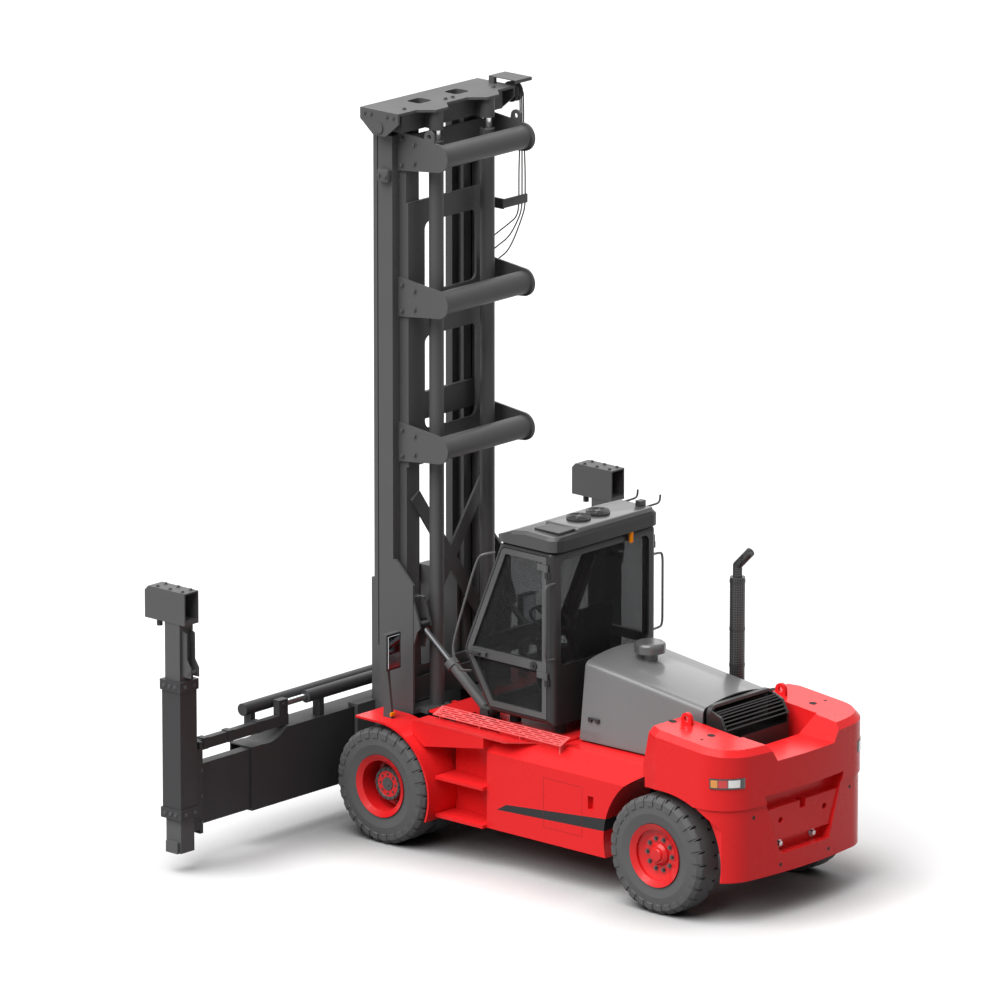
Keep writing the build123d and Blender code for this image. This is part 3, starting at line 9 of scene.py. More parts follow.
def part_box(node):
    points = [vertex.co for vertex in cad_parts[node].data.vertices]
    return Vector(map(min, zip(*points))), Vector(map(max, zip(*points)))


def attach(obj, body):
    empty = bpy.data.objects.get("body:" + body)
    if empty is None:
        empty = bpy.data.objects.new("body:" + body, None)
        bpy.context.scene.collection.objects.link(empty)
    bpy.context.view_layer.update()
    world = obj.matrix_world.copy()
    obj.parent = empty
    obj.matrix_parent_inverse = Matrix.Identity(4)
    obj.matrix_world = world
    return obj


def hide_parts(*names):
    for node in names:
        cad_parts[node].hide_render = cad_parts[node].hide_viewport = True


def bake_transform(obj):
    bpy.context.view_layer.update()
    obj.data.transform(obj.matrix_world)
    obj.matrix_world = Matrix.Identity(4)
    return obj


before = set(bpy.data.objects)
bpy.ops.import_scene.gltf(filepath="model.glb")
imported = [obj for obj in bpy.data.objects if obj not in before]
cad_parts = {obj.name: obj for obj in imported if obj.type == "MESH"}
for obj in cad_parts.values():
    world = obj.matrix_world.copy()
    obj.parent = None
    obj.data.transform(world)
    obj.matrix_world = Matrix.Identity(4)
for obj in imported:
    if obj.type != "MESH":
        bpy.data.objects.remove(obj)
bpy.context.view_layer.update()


# Chassis frame, bulkhead, axles and knuckles: welded plate and castings, sprayed in a
# satin black that shows only under the body and behind the wheels.
cloud_scale, cloud_detail = 2.5, 2.0
gloss_wander = 0.15                            # share by which the gloss changes over a piece
coat_roughness = 0.08


def where(material):
    """The socket that gives a point's place on the object."""
    return material.node_tree.nodes.new("ShaderNodeTexCoord").outputs["Object"]


def coating(name, colour, roughness, metallic=0.0, specular=0.5, coat=0.0, mottle=0.06):
    """A sprayed or moulded finish whose shade and gloss wander a little over the piece."""
    material = bpy.data.materials.new(name)
    material.use_nodes = True
    tree = material.node_tree
    shader = tree.nodes["Principled BSDF"]
    shader.inputs["Metallic"].default_value = metallic
    shader.inputs["Specular IOR Level"].default_value = specular
    shader.inputs["Coat Weight"].default_value = coat
    shader.inputs["Coat Roughness"].default_value = coat_roughness
    cloud = tree.nodes.new("ShaderNodeTexNoise")
    cloud.inputs["Scale"].default_value = cloud_scale
    cloud.inputs["Detail"].default_value = cloud_detail
    tree.links.new(where(material), cloud.inputs["Vector"])
    shade = tree.nodes.new("ShaderNodeMix")
    shade.data_type = "RGBA"
    shade.inputs["A"].default_value = (*[c * (1 - mottle) for c in colour], 1)
    shade.inputs["B"].default_value = (*[min(1, c * (1 + mottle)) for c in colour], 1)
    tree.links.new(cloud.outputs["Fac"], shade.inputs["Factor"])
    tree.links.new(shade.outputs["Result"], shader.inputs["Base Color"])
    gloss = tree.nodes.new("ShaderNodeMapRange")
    gloss.inputs["To Min"].default_value = roughness * (1 - gloss_wander)
    gloss.inputs["To Max"].default_value = min(1, roughness * (1 + gloss_wander))
    tree.links.new(cloud.outputs["Fac"], gloss.inputs["Value"])
    tree.links.new(gloss.outputs["Result"], shader.inputs["Roughness"])
    return material


def finish(material, *nodes):
    """Gives solids of the frame a material."""
    for node in nodes:
        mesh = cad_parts[node].data
        mesh.materials.clear()
        mesh.materials.append(material)


chassis_black = coating("chassis_black", (0.018, 0.018, 0.019), 0.45)
finish(chassis_black, "chassis_frame", "drive_axle", "steer_axle", "engine_bulkhead", "knuckle_left",
       "knuckle_right")


# Tyres: cured rubber, twin at the front, with deep shoulders and fine rings moulded
# round their walls.
axle_z = 0.560
front_axle = 1.610
wheelbase = 3.410
rear_axle = front_axle - wheelbase
ring_pitch, ring_strength, ring_depth = 0.016, 0.25, 0.001


def worked_out(tree, operation, *values):
    """The result of a sum whose values are sockets or numbers."""
    node = tree.nodes.new("ShaderNodeMath")
    node.operation = operation
    for socket, value in zip(node.inputs, values):
        if isinstance(value, bpy.types.NodeSocket):
            tree.links.new(value, socket)
        else:
            socket.default_value = value
    return node.outputs["Value"]


def relief(material, height, strength, depth, sunk=False):
    """Raises a material's surface by a height, or sinks it."""
    tree = material.node_tree
    bump = tree.nodes.new("ShaderNodeBump")
    bump.inputs["Strength"].default_value = strength
    bump.inputs["Distance"].default_value = depth
    bump.invert = sunk
    tree.links.new(height, bump.inputs["Height"])
    tree.links.new(bump.outputs["Normal"], tree.nodes["Principled BSDF"].inputs["Normal"])


def moulded_rubber(name, axle_x):
    """Grey rubber with rings round the axle as relief."""
    material = coating(name, (0.075, 0.075, 0.077), 0.75, mottle=0.15)
    tree = material.node_tree
    centre = tree.nodes.new("ShaderNodeMapping")
    centre.inputs["Location"].default_value = (-axle_x, 0, -axle_z)
    centre.inputs["Scale"].default_value = (1, 0, 1)
    tree.links.new(where(material), centre.inputs["Vector"])
    radius = tree.nodes.new("ShaderNodeVectorMath")
    radius.operation = "LENGTH"
    tree.links.new(centre.outputs["Vector"], radius.inputs[0])
    turns = worked_out(tree, "MULTIPLY", radius.outputs["Value"], math.tau / ring_pitch)
    relief(material, worked_out(tree, "SINE", turns), ring_strength, ring_depth)
    return material


front_rubber = moulded_rubber("front_rubber", front_axle)
rear_rubber = moulded_rubber("rear_rubber", rear_axle)
finish(front_rubber, "front_tyres_left", "front_tyres_right")
finish(rear_rubber, "rear_tyre_left", "rear_tyre_right")


# Tread blocks: rubber blocks that stand out of each tyre's shoulder between its
# grooves, cured in one with the tyre.
sides = (("left", 1), ("right", -1))
front_tread_y, rear_tread_y = 0.945, 0.915
block_count, block_steps = 28, 2
block_angle = math.radians(7.6)
block_profile = [(0.462, 0.1465), (0.470, 0.1575), (0.520, 0.1530), (0.5585, 0.1185),
                 (0.5535, 0.1085), (0.517, 0.1405)]       # (radius, distance from the tyre's middle)
merge_distance = 1e-5
sharp_angle = math.radians(35)


def unfixed(name, shape, material):
    """Makes an object of a finished bmesh."""
    bmesh.ops.remove_doubles(shape, verts=shape.verts, dist=merge_distance)
    bmesh.ops.recalc_face_normals(shape, faces=shape.faces)
    mesh = bpy.data.meshes.new(name)
    shape.to_mesh(mesh)
    shape.free()
    mesh.shade_smooth()
    mesh.set_sharp_from_angle(angle=sharp_angle)
    mesh.materials.append(material)
    made = bpy.data.objects.new(name, mesh)
    bpy.context.collection.objects.link(made)
    return made


def piece(name, shape, material, body):
    """An object that rides on a body."""
    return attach(unfixed(name, shape, material), body)


def tread_blocks(name, x, y, outward, rubber, body):
    """One ring of blocks on a tyre's outer shoulder."""
    blocks = bmesh.new()
    for number in range(block_count):
        turn = math.tau * (number + 0.5) / block_count - block_angle / 2
        corners = []
        for radius, out in block_profile:
            place = (x + radius * math.sin(turn), y + outward * out, axle_z + radius * math.cos(turn))
            corners.append(blocks.verts.new(place))
        edges = [blocks.edges.new(ends) for ends in zip(corners, corners[1:] + corners[:1])]
        bmesh.ops.spin(blocks, geom=corners + edges, cent=(x, y, axle_z), axis=(0, 1, 0),
                       angle=block_angle, steps=block_steps)
    bmesh.ops.holes_fill(blocks, edges=blocks.edges[:], sides=len(block_profile))
    piece(name, blocks, rubber, body)


for side, sign in sides:
    tread_blocks(f"front_tread_{side}", front_axle, sign * front_tread_y, sign, front_rubber,
                 f"front_wheel_{side}")
    tread_blocks(f"rear_tread_{side}", rear_axle, sign * rear_tread_y, sign, rear_rubber,
                 f"rear_wheel_{side}")


# Rims and wheel nuts: pressed steel in the body's red; a ring of nuts holds each
# rear wheel, and a turned cap closes its hub.
lathe_steps = 48
washer_height, washer_radius = 0.25, 0.8       # shares of a bolt head's height and width
washer_segments, hex_segments = 18, 6
rear_nuts = (0.982, 0.150, 10, 0.030, 0.020)   # (y, radius of the ring, count, across, height)
cap_profile = [(0.062, 1.024), (0.062, 1.036), (0.054, 1.046), (0.020, 1.048), (0, 1.048)]


def lathe(shape, profile, x, sign):
    """Spins a (radius, y) profile about a wheel's axle."""
    points = [shape.verts.new((x + radius, sign * y, axle_z)) for radius, y in profile]
    edges = [shape.edges.new(ends) for ends in zip(points, points[1:])]
    bmesh.ops.spin(shape, geom=points + edges, cent=(x, 0, axle_z), axis=(0, 1, 0), angle=math.tau,
                   steps=lathe_steps, use_merge=True)


def facing(centre, towards, lift=0.0):
    """A place at centre whose Z points along towards."""
    direction = Vector(towards).normalized()
    turned = direction.to_track_quat("Z", "Y").to_matrix().to_4x4()
    return Matrix.Translation(Vector(centre) + direction * lift) @ turned


def drum(shape, place, depth, radius, top_radius, segments):
    """A closed round or many-sided drum about its place's Z."""
    bmesh.ops.create_cone(shape, cap_ends=True, segments=segments, radius1=radius, radius2=top_radius,
                          depth=depth, matrix=place)


def hex_head(shape, centre, towards, across, height):
    """A bolt head or nut on its washer."""
    washer = height * washer_height
    wide = across * washer_radius
    drum(shape, facing(centre, towards, washer / 2), washer, wide, wide, washer_segments)
    drum(shape, facing(centre, towards, washer + height / 2), height, across / 2, across / 2, hex_segments)


def bolt_circle(shape, axle_x, sign, circle):
    """A ring of bolts or nuts round an axle, given as (y, radius, count, across, height)."""
    y, radius, count, across, height = circle
    for number in range(count):
        turn = math.tau * number / count
        spot = (axle_x + radius * math.cos(turn), sign * y, axle_z + radius * math.sin(turn))
        hex_head(shape, spot, (0, sign, 0), across, height)


rim_red = coating("rim_red", (0.62, 0.010, 0.012), 0.35, specular=0.3, coat=0.15)
finish(rim_red, "front_rims_left", "front_rims_right", "rear_rim_left", "rear_rim_right")
nut_steel = coating("nut_steel", (0.10, 0.09, 0.09), 0.4, metallic=0.6)
for side, sign in sides:
    nuts = bmesh.new()
    bolt_circle(nuts, rear_axle, sign, rear_nuts)
    piece(f"rear_nuts_{side}", nuts, nut_steel, f"rear_wheel_{side}")
    cap = bmesh.new()
    lathe(cap, cap_profile, rear_axle, sign)
    piece(f"rear_cap_{side}", cap, rim_red, f"rear_wheel_{side}")


# Front hubs: the cast housing of the planetary gear in each twin wheel, machined on
# its face and closed by a bolted cover.
hub_iron = coating("hub_iron", (0.075, 0.075, 0.077), 0.38, metallic=0.3)
hub_profile = [(0.1668, 0.800), (0.1668, 0.962), (0.152, 0.984), (0.128, 0.984), (0.124, 0.979),
               (0.066, 0.979), (0.062, 0.987), (0.030, 0.987), (0.026, 0.993), (0, 0.993)]
face_bolts = (0.984, 0.140, 14, 0.018, 0.009)
cover_bolts = (0.979, 0.095, 8, 0.016, 0.008)
front_nuts = (0.817, 0.198, 12, 0.028, 0.022)
for side, sign in sides:
    hub = bmesh.new()
    lathe(hub, hub_profile, front_axle, sign)
    bolt_circle(hub, front_axle, sign, face_bolts)
    bolt_circle(hub, front_axle, sign, cover_bolts)
    piece(f"front_hub_{side}", hub, hub_iron, f"front_wheel_{side}")
    nuts = bmesh.new()
    bolt_circle(nuts, front_axle, sign, front_nuts)
    piece(f"front_nuts_{side}", nuts, nut_steel, f"front_wheel_{side}")


# Body: folded and welded plate and a casting in red, with a dark wedge painted along
# each side and the seam of a service door across it.
def inside_outline(material, corners):
    """A mask that is 1 inside a convex (x, z) outline, whose corners run clockwise seen from the right."""
    tree = material.node_tree
    place = where(material)
    mask = None
    for (x0, z0), (x1, z1) in zip(corners, corners[1:] + corners[:1]):
        along = tree.nodes.new("ShaderNodeVectorMath")
        along.operation = "DOT_PRODUCT"
        along.inputs[1].default_value = (z1 - z0, 0, x0 - x1)
        tree.links.new(place, along.inputs[0])
        edge = (z1 - z0) * x0 + (x0 - x1) * z0
        test = worked_out(tree, "GREATER_THAN", along.outputs["Value"], edge)
        mask = worked_out(tree, "MULTIPLY", mask, test) if mask else test
    return mask


def paint_over(material, mask, colour):
    """Lays a second colour over a coating where the mask is 1."""
    tree = material.node_tree
    base = tree.nodes["Principled BSDF"].inputs["Base Color"]
    layer = tree.nodes.new("ShaderNodeMix")
    layer.data_type = "RGBA"
    layer.inputs["B"].default_value = (*colour, 1)
    tree.links.new(base.links[0].from_socket, layer.inputs["A"])
    tree.links.new(mask, layer.inputs["Factor"])
    tree.links.new(layer.outputs["Result"], base)


paint_red = (0.74, 0.018, 0.020)
body_red = coating("body_red", paint_red, 0.28, specular=0.12, coat=0.05, mottle=0.03)
side_red = coating("side_red", paint_red, 0.28, specular=0.12, coat=0.05, mottle=0.03)
wedge_corners = [(-1.355, 0.570), (-2.700, 0.627), (-2.720, 0.748), (-1.473, 0.640)]   # (x, z)
wedge = inside_outline(side_red, [(front_axle + x, z) for x, z in wedge_corners])
paint_over(side_red, wedge, (0.028, 0.028, 0.030))
finish(side_red, "side_tanks")
finish(body_red, "deck_plate", "fenders", "counterweight")

seam_dark = coating("seam_dark", (0.20, 0.004, 0.005), 0.6)
seam_width, seam_thickness, seam_lift = 0.003, 0.0008, 0.0006
body_side_y = 0.950
door_back, door_front = front_axle - 2.42, front_axle - 1.94
door_low, door_high = 0.52, 1.00
quarter_turn = math.radians(90)
for side, sign in sides:
    seam = bmesh.new()
    bmesh.ops.create_grid(seam, x_segments=1, y_segments=1, size=0.5)
    bmesh.ops.scale(seam, vec=(door_front - door_back, door_high - door_low, 1), verts=seam.verts)
    bmesh.ops.inset_region(seam, faces=seam.faces[:], thickness=seam_width, use_boundary=True)
    inner = max(seam.faces, key=lambda face: face.calc_area())
    bmesh.ops.delete(seam, geom=[inner], context="FACES_ONLY")
    middle = ((door_back + door_front) / 2, sign * (body_side_y + seam_lift), (door_low + door_high) / 2)
    upright = Matrix.Translation(middle) @ Matrix.Rotation(quarter_turn, 4, "X")
    bmesh.ops.transform(seam, matrix=upright, verts=seam.verts)
    bmesh.ops.solidify(seam, geom=seam.faces[:], thickness=seam_thickness)
    piece(f"door_seam_{side}", seam, seam_dark, "chassis")


# Deck edge: a strip of slotted plate along each side of the cab, on brackets, so that
# a boot finds grip outside the doors.
# painted highlight: the strip's red is paler than the body's, standing for the sheen of light on it
highlight_strip_red = coating("highlight_strip_red", (0.76, 0.11, 0.11), 0.35, coat=0.3)
slot_columns, slot_rows = 46, 11
bridge_pitch, bridge_shift = 5, 2              # cells between bridges, and their shift from row to row
strip_back, strip_front = front_axle - 2.08, front_axle - 0.47
strip_middle_y, strip_middle_z, strip_width, strip_plate = 0.800, 1.338, 0.150, 0.006
strip_fall = math.radians(22)
foot_y, foot_z, foot_size = 0.795, 1.270, (0.012, 0.060, 0.130)
feet_x = (strip_back + 0.05, strip_back + 0.55, strip_front - 0.55, strip_front - 0.05)
for side, sign in sides:
    strip = bmesh.new()
    bmesh.ops.create_grid(strip, x_segments=slot_columns, y_segments=slot_rows, size=0.5)
    slots = []
    for face in strip.faces:
        spot = face.calc_center_median()
        column = int((spot.x + 0.5) * slot_columns)
        row = int((spot.y + 0.5) * slot_rows)
        between_bridges = (column + bridge_shift * (row // 2)) % bridge_pitch
        if row % 2 and between_bridges and 0 < column < slot_columns - 1:
            slots.append(face)
    bmesh.ops.delete(strip, geom=slots, context="FACES")
    bmesh.ops.scale(strip, vec=(strip_front - strip_back, strip_width, 1), verts=strip.verts)
    middle = ((strip_back + strip_front) / 2, sign * strip_middle_y, strip_middle_z)
    sloped = Matrix.Translation(middle) @ Matrix.Rotation(-sign * strip_fall, 4, "X")
    bmesh.ops.transform(strip, matrix=sloped, verts=strip.verts)
    bmesh.ops.recalc_face_normals(strip, faces=strip.faces)
    bmesh.ops.solidify(strip, geom=strip.faces[:], thickness=strip_plate)
    for x in feet_x:
        foot = Matrix.Translation((x, sign * foot_y, foot_z)) @ Matrix.Diagonal((*foot_size, 1))
        bmesh.ops.create_cube(strip, size=1, matrix=foot)
    piece(f"slotted_strip_{side}", strip, highlight_strip_red, "chassis")


# Tread ledge: a flat plate with pressed studs on top of each fender's web, the last
# step up to the cab.
def even_cells(tree, place, per_metre):
    """How far a point lies from the middle of its cell in an even grid."""
    cells = tree.nodes.new("ShaderNodeTexVoronoi")
    cells.inputs["Scale"].default_value = per_metre
    cells.inputs["Randomness"].default_value = 0.0
    tree.links.new(place, cells.inputs["Vector"])
    return cells.outputs["Distance"]


def from_axle(x, y, z):
    """A place given from the front axle's middle, on the floor."""
    return (front_axle + x, y, z)


stud_red = coating("stud_red", paint_red, 0.4, coat=0.2)
studs_per_metre, stud_strength, stud_depth = 38.0, 0.8, 0.006
stud_distance = even_cells(stud_red.node_tree, where(stud_red), studs_per_metre)
relief(stud_red, stud_distance, stud_strength, stud_depth, sunk=True)
ledge_corners = [(-0.36, 0.800), (-0.36, 1.000), (-1.50, 1.000), (-1.72, 0.800)]       # (x, y)
ledge_z, ledge_plate = 1.2515, 0.012
for side, sign in sides:
    ledge = bmesh.new()
    corners = [ledge.verts.new(from_axle(x, sign * y, ledge_z)) for x, y in ledge_corners]
    bmesh.ops.contextual_create(ledge, geom=corners)
    lifted = bmesh.ops.extrude_face_region(ledge, geom=ledge.faces[:])
    raised = [part for part in lifted["geom"] if isinstance(part, bmesh.types.BMVert)]
    bmesh.ops.translate(ledge, vec=(0, 0, ledge_plate), verts=raised)
    piece(f"tread_ledge_{side}", ledge, stud_red, "chassis")


# Counterweight fittings: two bolts in the tow slot, and black discs of painted shade
# where the tapped holes sit in the casting's shoulders and rear face.
above, behind, beside = 3, -4, 2               # places clear of the body, from which a line looks for it
hole_lift, hole_segments = 0.0008, 24
shoulder_holes = [(-3.80, 0.72, 0.038), (-3.82, 0.875, 0.016), (-3.33, 0.72, 0.040)]   # (x, y, radius)
rear_holes = [(0.68, 1.017, 0.018), (0.34, 0.500, 0.018)]                              # (y, z, radius)
tow_bolt_y, tow_bolt_z, tow_bolt_across, tow_bolt_height = 0.235, 0.66, 0.052, 0.030


def touch(node, start, towards):
    """Where a straight line first meets a solid, and the way its surface faces."""
    solid = bmesh.new()
    solid.from_mesh(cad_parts[node].data)
    spot, normal, _, _ = BVHTree.FromBMesh(solid).ray_cast(Vector(start), Vector(towards))
    solid.free()
    return spot, normal


def shaded_hole_disc(shape, node, start, towards, radius):
    """A black disc of painted shade, standing for a hole's dark inside, where a line meets a solid."""
    spot, normal = touch(node, start, towards)
    bmesh.ops.create_circle(shape, cap_ends=True, segments=hole_segments, radius=radius,
                            matrix=facing(spot, normal, hole_lift))


# painted shade: near-black discs stand for the shaded insides of the tapped holes
hole_shade_black = coating("hole_shade_black", (0.006, 0.004, 0.004), 0.9)
weight_hole_shades = bmesh.new()
for _, sign in sides:
    for x, y, radius in shoulder_holes:
        shaded_hole_disc(weight_hole_shades, "counterweight", from_axle(x, sign * y, above), (0, 0, -1), radius)
    for y, z, radius in rear_holes:
        shaded_hole_disc(weight_hole_shades, "counterweight", (behind, sign * y, z), (1, 0, 0), radius)
piece("weight_hole_shades", weight_hole_shades, hole_shade_black, "chassis")
bright_steel = coating("bright_steel", (0.42, 0.42, 0.43), 0.3, metallic=1.0)
weight_bolts = bmesh.new()
for _, sign in sides:
    spot, _ = touch("counterweight", (behind, sign * tow_bolt_y, tow_bolt_z), (1, 0, 0))
    hex_head(weight_bolts, spot, (-1, 0, 0), tow_bolt_across, tow_bolt_height)
piece("weight_bolts", weight_bolts, bright_steel, "chassis")


# Tail lamps: a clear moulding bent round each rear corner, white, red and amber in
# turn from the rear, in a black surround.
def upright_band(back, fore, low, high):
    """The outline of an upright rectangle, in (x, z)."""
    return [(fore, low), (back, low), (back, high), (fore, high)]


lamp_low, lamp_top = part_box("tail_lamps")
lamp_cells = coating("lamp_cells", (0.012, 0.012, 0.012), 0.2, coat=0.6)
cell_edges = [0.05, 0.36, 0.68, 0.96]          # shares of the lamp's length, from its rear end
cell_colours = [(0.80, 0.80, 0.78), (0.60, 0.010, 0.012), (0.70, 0.26, 0.03)]
cell_gap, cell_margin = 0.003, 0.014
lamp_run = lamp_top[0] - lamp_low[0]
for near, far, colour in zip(cell_edges, cell_edges[1:], cell_colours):
    cell = upright_band(lamp_low[0] + near * lamp_run + cell_gap, lamp_low[0] + far * lamp_run - cell_gap,
                        lamp_low[2] + cell_margin, lamp_top[2] - cell_margin)
    paint_over(lamp_cells, inside_outline(lamp_cells, cell), colour)
finish(lamp_cells, "tail_lamps")


# Engine and hood: a plain iron block under a pressed hood in glossy grey, shut by a
# latch on each side, with a black moulded grille behind and an air cleaner on top.
engine_iron = coating("engine_iron", (0.06, 0.06, 0.06), 0.6)
finish(engine_iron, "engine_block")
hood_grey = coating("hood_grey", (0.140, 0.140, 0.142), 0.30, specular=0.4, coat=0.3)
finish(hood_grey, "hood")
moulded_black = coating("moulded_black", (0.016, 0.016, 0.016), 0.42)
finish(moulded_black, "rear_grille", "roof_fittings", "steering_console")
smoked_plastic = coating("smoked_plastic", (0.075, 0.075, 0.076), 0.25, coat=0.3)
finish(smoked_plastic, "air_precleaner")
latch_z, latch_half, latch_stand, latch_round = 1.507, 0.020, 0.022, 0.004
latch_feet_x = (front_axle - 2.235, front_axle - 2.145)
bar_back, bar_front = front_axle - 2.25, front_axle - 2.13
bar_low, bar_high = 1.512, 1.532
bar_inner, bar_outer = 0.012, 0.024            # distances of the latch bar's faces from the hood


def rounded_block(shape, one, other, radius, segments=2):
    """A block between two opposite corners, with its edges rounded."""
    low = Vector([min(ends) for ends in zip(one, other)])
    high = Vector([max(ends) for ends in zip(one, other)])
    place = Matrix.Translation((low + high) / 2) @ Matrix.Diagonal((*(high - low), 1))
    block = bmesh.ops.create_cube(shape, size=1, matrix=place)
    edges = {edge for vert in block["verts"] for edge in vert.link_edges}
    bmesh.ops.bevel(shape, geom=list(edges), offset=radius, offset_type="OFFSET", affect="EDGES",
                    segments=segments, profile=0.5, material=-1)


for side, sign in sides:
    latch = bmesh.new()
    for x in latch_feet_x:
        spot, _ = touch("hood", (x, sign * beside, latch_z), (0, -sign, 0))
        rounded_block(latch, (x - latch_half, spot.y, latch_z - latch_half),
                      (x + latch_half, spot.y + sign * latch_stand, latch_z + latch_half), latch_round)
    rounded_block(latch, (bar_back, spot.y + sign * bar_inner, bar_low),
                  (bar_front, spot.y + sign * bar_outer, bar_high), latch_round)
    piece(f"hood_latch_{side}", latch, moulded_black, "hood")


# Exhaust: a silencer tube behind a guard of sheet punched with round holes, with
# three bands round it.
exhaust_x, exhaust_y = rear_axle + 0.460, -0.625
guard_radius, hole_pitch, hole_share = 0.072, 0.024, 0.32
bands_z, band_radius, band_width, band_segments = (1.95, 2.30, 2.76), 0.0755, 0.026, 40
guard_black = coating("guard_black", (0.055, 0.055, 0.056), 0.4, metallic=0.3)
guard_tree = guard_black.node_tree
guard_axis = guard_tree.nodes.new("ShaderNodeMapping")
guard_axis.inputs["Location"].default_value = (-exhaust_x, -exhaust_y, 0)
guard_tree.links.new(where(guard_black), guard_axis.inputs["Vector"])
guard_parts = guard_tree.nodes.new("ShaderNodeSeparateXYZ")
guard_tree.links.new(guard_axis.outputs["Vector"], guard_parts.inputs["Vector"])
guard_turn = worked_out(guard_tree, "ARCTAN2", guard_parts.outputs["Y"], guard_parts.outputs["X"])
guard_flat = guard_tree.nodes.new("ShaderNodeCombineXYZ")
guard_tree.links.new(worked_out(guard_tree, "MULTIPLY", guard_turn, guard_radius), guard_flat.inputs["X"])
guard_tree.links.new(guard_parts.outputs["Z"], guard_flat.inputs["Y"])
hole_distance = even_cells(guard_tree, guard_flat.outputs["Vector"], 1 / hole_pitch)
# painted shade: the guard's punched holes are near-black dots, standing for the shade behind the sheet
guard_hole_shade = worked_out(guard_tree, "LESS_THAN", hole_distance, hole_share)
paint_over(guard_black, guard_hole_shade, (0.004, 0.004, 0.004))
finish(guard_black, "exhaust_stack")
bands = bmesh.new()
for z in bands_z:
    drum(bands, Matrix.Translation((exhaust_x, exhaust_y, z)), band_width, band_radius, band_radius,
         band_segments)
piece("exhaust_bands", bands, moulded_black, "chassis")


# Cab: welded tube and sheet sprayed in charcoal, on rubber mounts, under a roof whose
# rear face is painted darker as shade, with an amber lamp below it and tinted glass all round.
cab_grey = coating("cab_grey", (0.072, 0.072, 0.073), 0.32, specular=0.4, coat=0.3)
finish(cab_grey, "door_left", "door_right")
shell_grey = coating("shell_grey", (0.030, 0.030, 0.031), 0.32, specular=0.2, coat=0.1)
finish(shell_grey, "cab_shell")
roof_low, roof_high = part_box("cab_roof")
roof_shade_depth, roof_margin = 0.030, 1        # the paint covers the rear face and runs past its edges
roof_grey = coating("roof_grey", (0.072, 0.072, 0.073), 0.32, specular=0.2, coat=0.05)
# painted shade: the roof's rear face is painted darker than the rest of the roof, standing for the shade it
# lies in
roof_rear_shade = upright_band(roof_low[0] - roof_margin, roof_low[0] + roof_shade_depth,
                         roof_low[2] - roof_margin, roof_high[2] + roof_margin)
paint_over(roof_grey, inside_outline(roof_grey, roof_rear_shade), (0.020, 0.020, 0.020))
finish(roof_grey, "cab_roof")
mount_rubber = coating("mount_rubber", (0.012, 0.012, 0.012), 0.8)
finish(mount_rubber, "cab_mounts")
amber = coating("amber", (0.92, 0.27, 0.005), 0.3, specular=0.1)
finish(amber, "amber_lamp")

glass = coating("tinted_glass", (0.235, 0.238, 0.240), 0.0, mottle=0.12)
pane = glass.node_tree.nodes["Principled BSDF"]
pane.inputs["Transmission Weight"].default_value = 0.94
pane.inputs["IOR"].default_value = 1.03
finish(glass, "cab_glass", "door_glass_left", "door_glass_right")


# Door furniture: a pull handle and a round lock, moulded in black, on each door's
# cross rail, riding with the door.
handle_x, handle_z = front_axle - 0.90, 1.975
grip_back, grip_front = front_axle - 0.985, front_axle - 0.805
grip_stand, grip_thick, grip_half, grip_round = 0.034, 0.014, 0.015, 0.006
stems_x = (front_axle - 0.970, front_axle - 0.820)
stem_sunk, stem_wide, stem_half, stem_round = 0.004, 0.014, 0.013, 0.004
lock_x, lock_z = front_axle - 1.62, 1.972
lock_drums = [(0.006, 0.016, 0.045, 0.040, 28), (0.020, 0.014, 0.018, 0.016, 20)]
for side, sign in sides:
    handle = bmesh.new()
    spot, _ = touch(f"door_{side}", (handle_x, sign * beside, handle_z), (0, -sign, 0))
    outer = spot.y + sign * grip_stand
    rounded_block(handle, (grip_back, outer - sign * grip_thick, handle_z - grip_half),
                  (grip_front, outer, handle_z + grip_half), grip_round)
    for x in stems_x:
        rounded_block(handle, (x - stem_wide, spot.y - sign * stem_sunk, handle_z - stem_half),
                      (x + stem_wide, outer, handle_z + stem_half), stem_round)
    lock, _ = touch(f"door_{side}", (lock_x, sign * beside, lock_z), (0, -sign, 0))
    for lift, depth, radius, top_radius, segments in lock_drums:
        drum(handle, facing(lock, (0, sign, 0), lift), depth, radius, top_radius, segments)
    piece(f"door_handle_{side}", handle, moulded_black, f"door_{side}")


# Grab rails: bent steel tube in the cab's grey, one beside each front post and one up
# each rear post, welded on at both ends.
tube_resolution, line_resolution = 3, 8
rail_radius = 0.012
front_rail = [(-1.11, 0.70, 2.965), (-1.04, 0.79, 2.96), (-0.98, 0.81, 2.90), (-0.84, 0.81, 2.50),
              (-0.70, 0.81, 2.10), (-0.67, 0.81, 1.95), (-0.73, 0.81, 1.80), (-0.76, 0.78, 1.77),
              (-0.80, 0.69, 1.76)]
rear_rail = [(-1.845, 0.69, 2.80), (-1.845, 0.78, 2.80), (-1.845, 0.83, 2.78), (-1.845, 0.83, 2.60),
             (-1.845, 0.83, 2.27), (-1.845, 0.83, 2.09), (-1.845, 0.78, 2.07), (-1.845, 0.69, 2.07)]


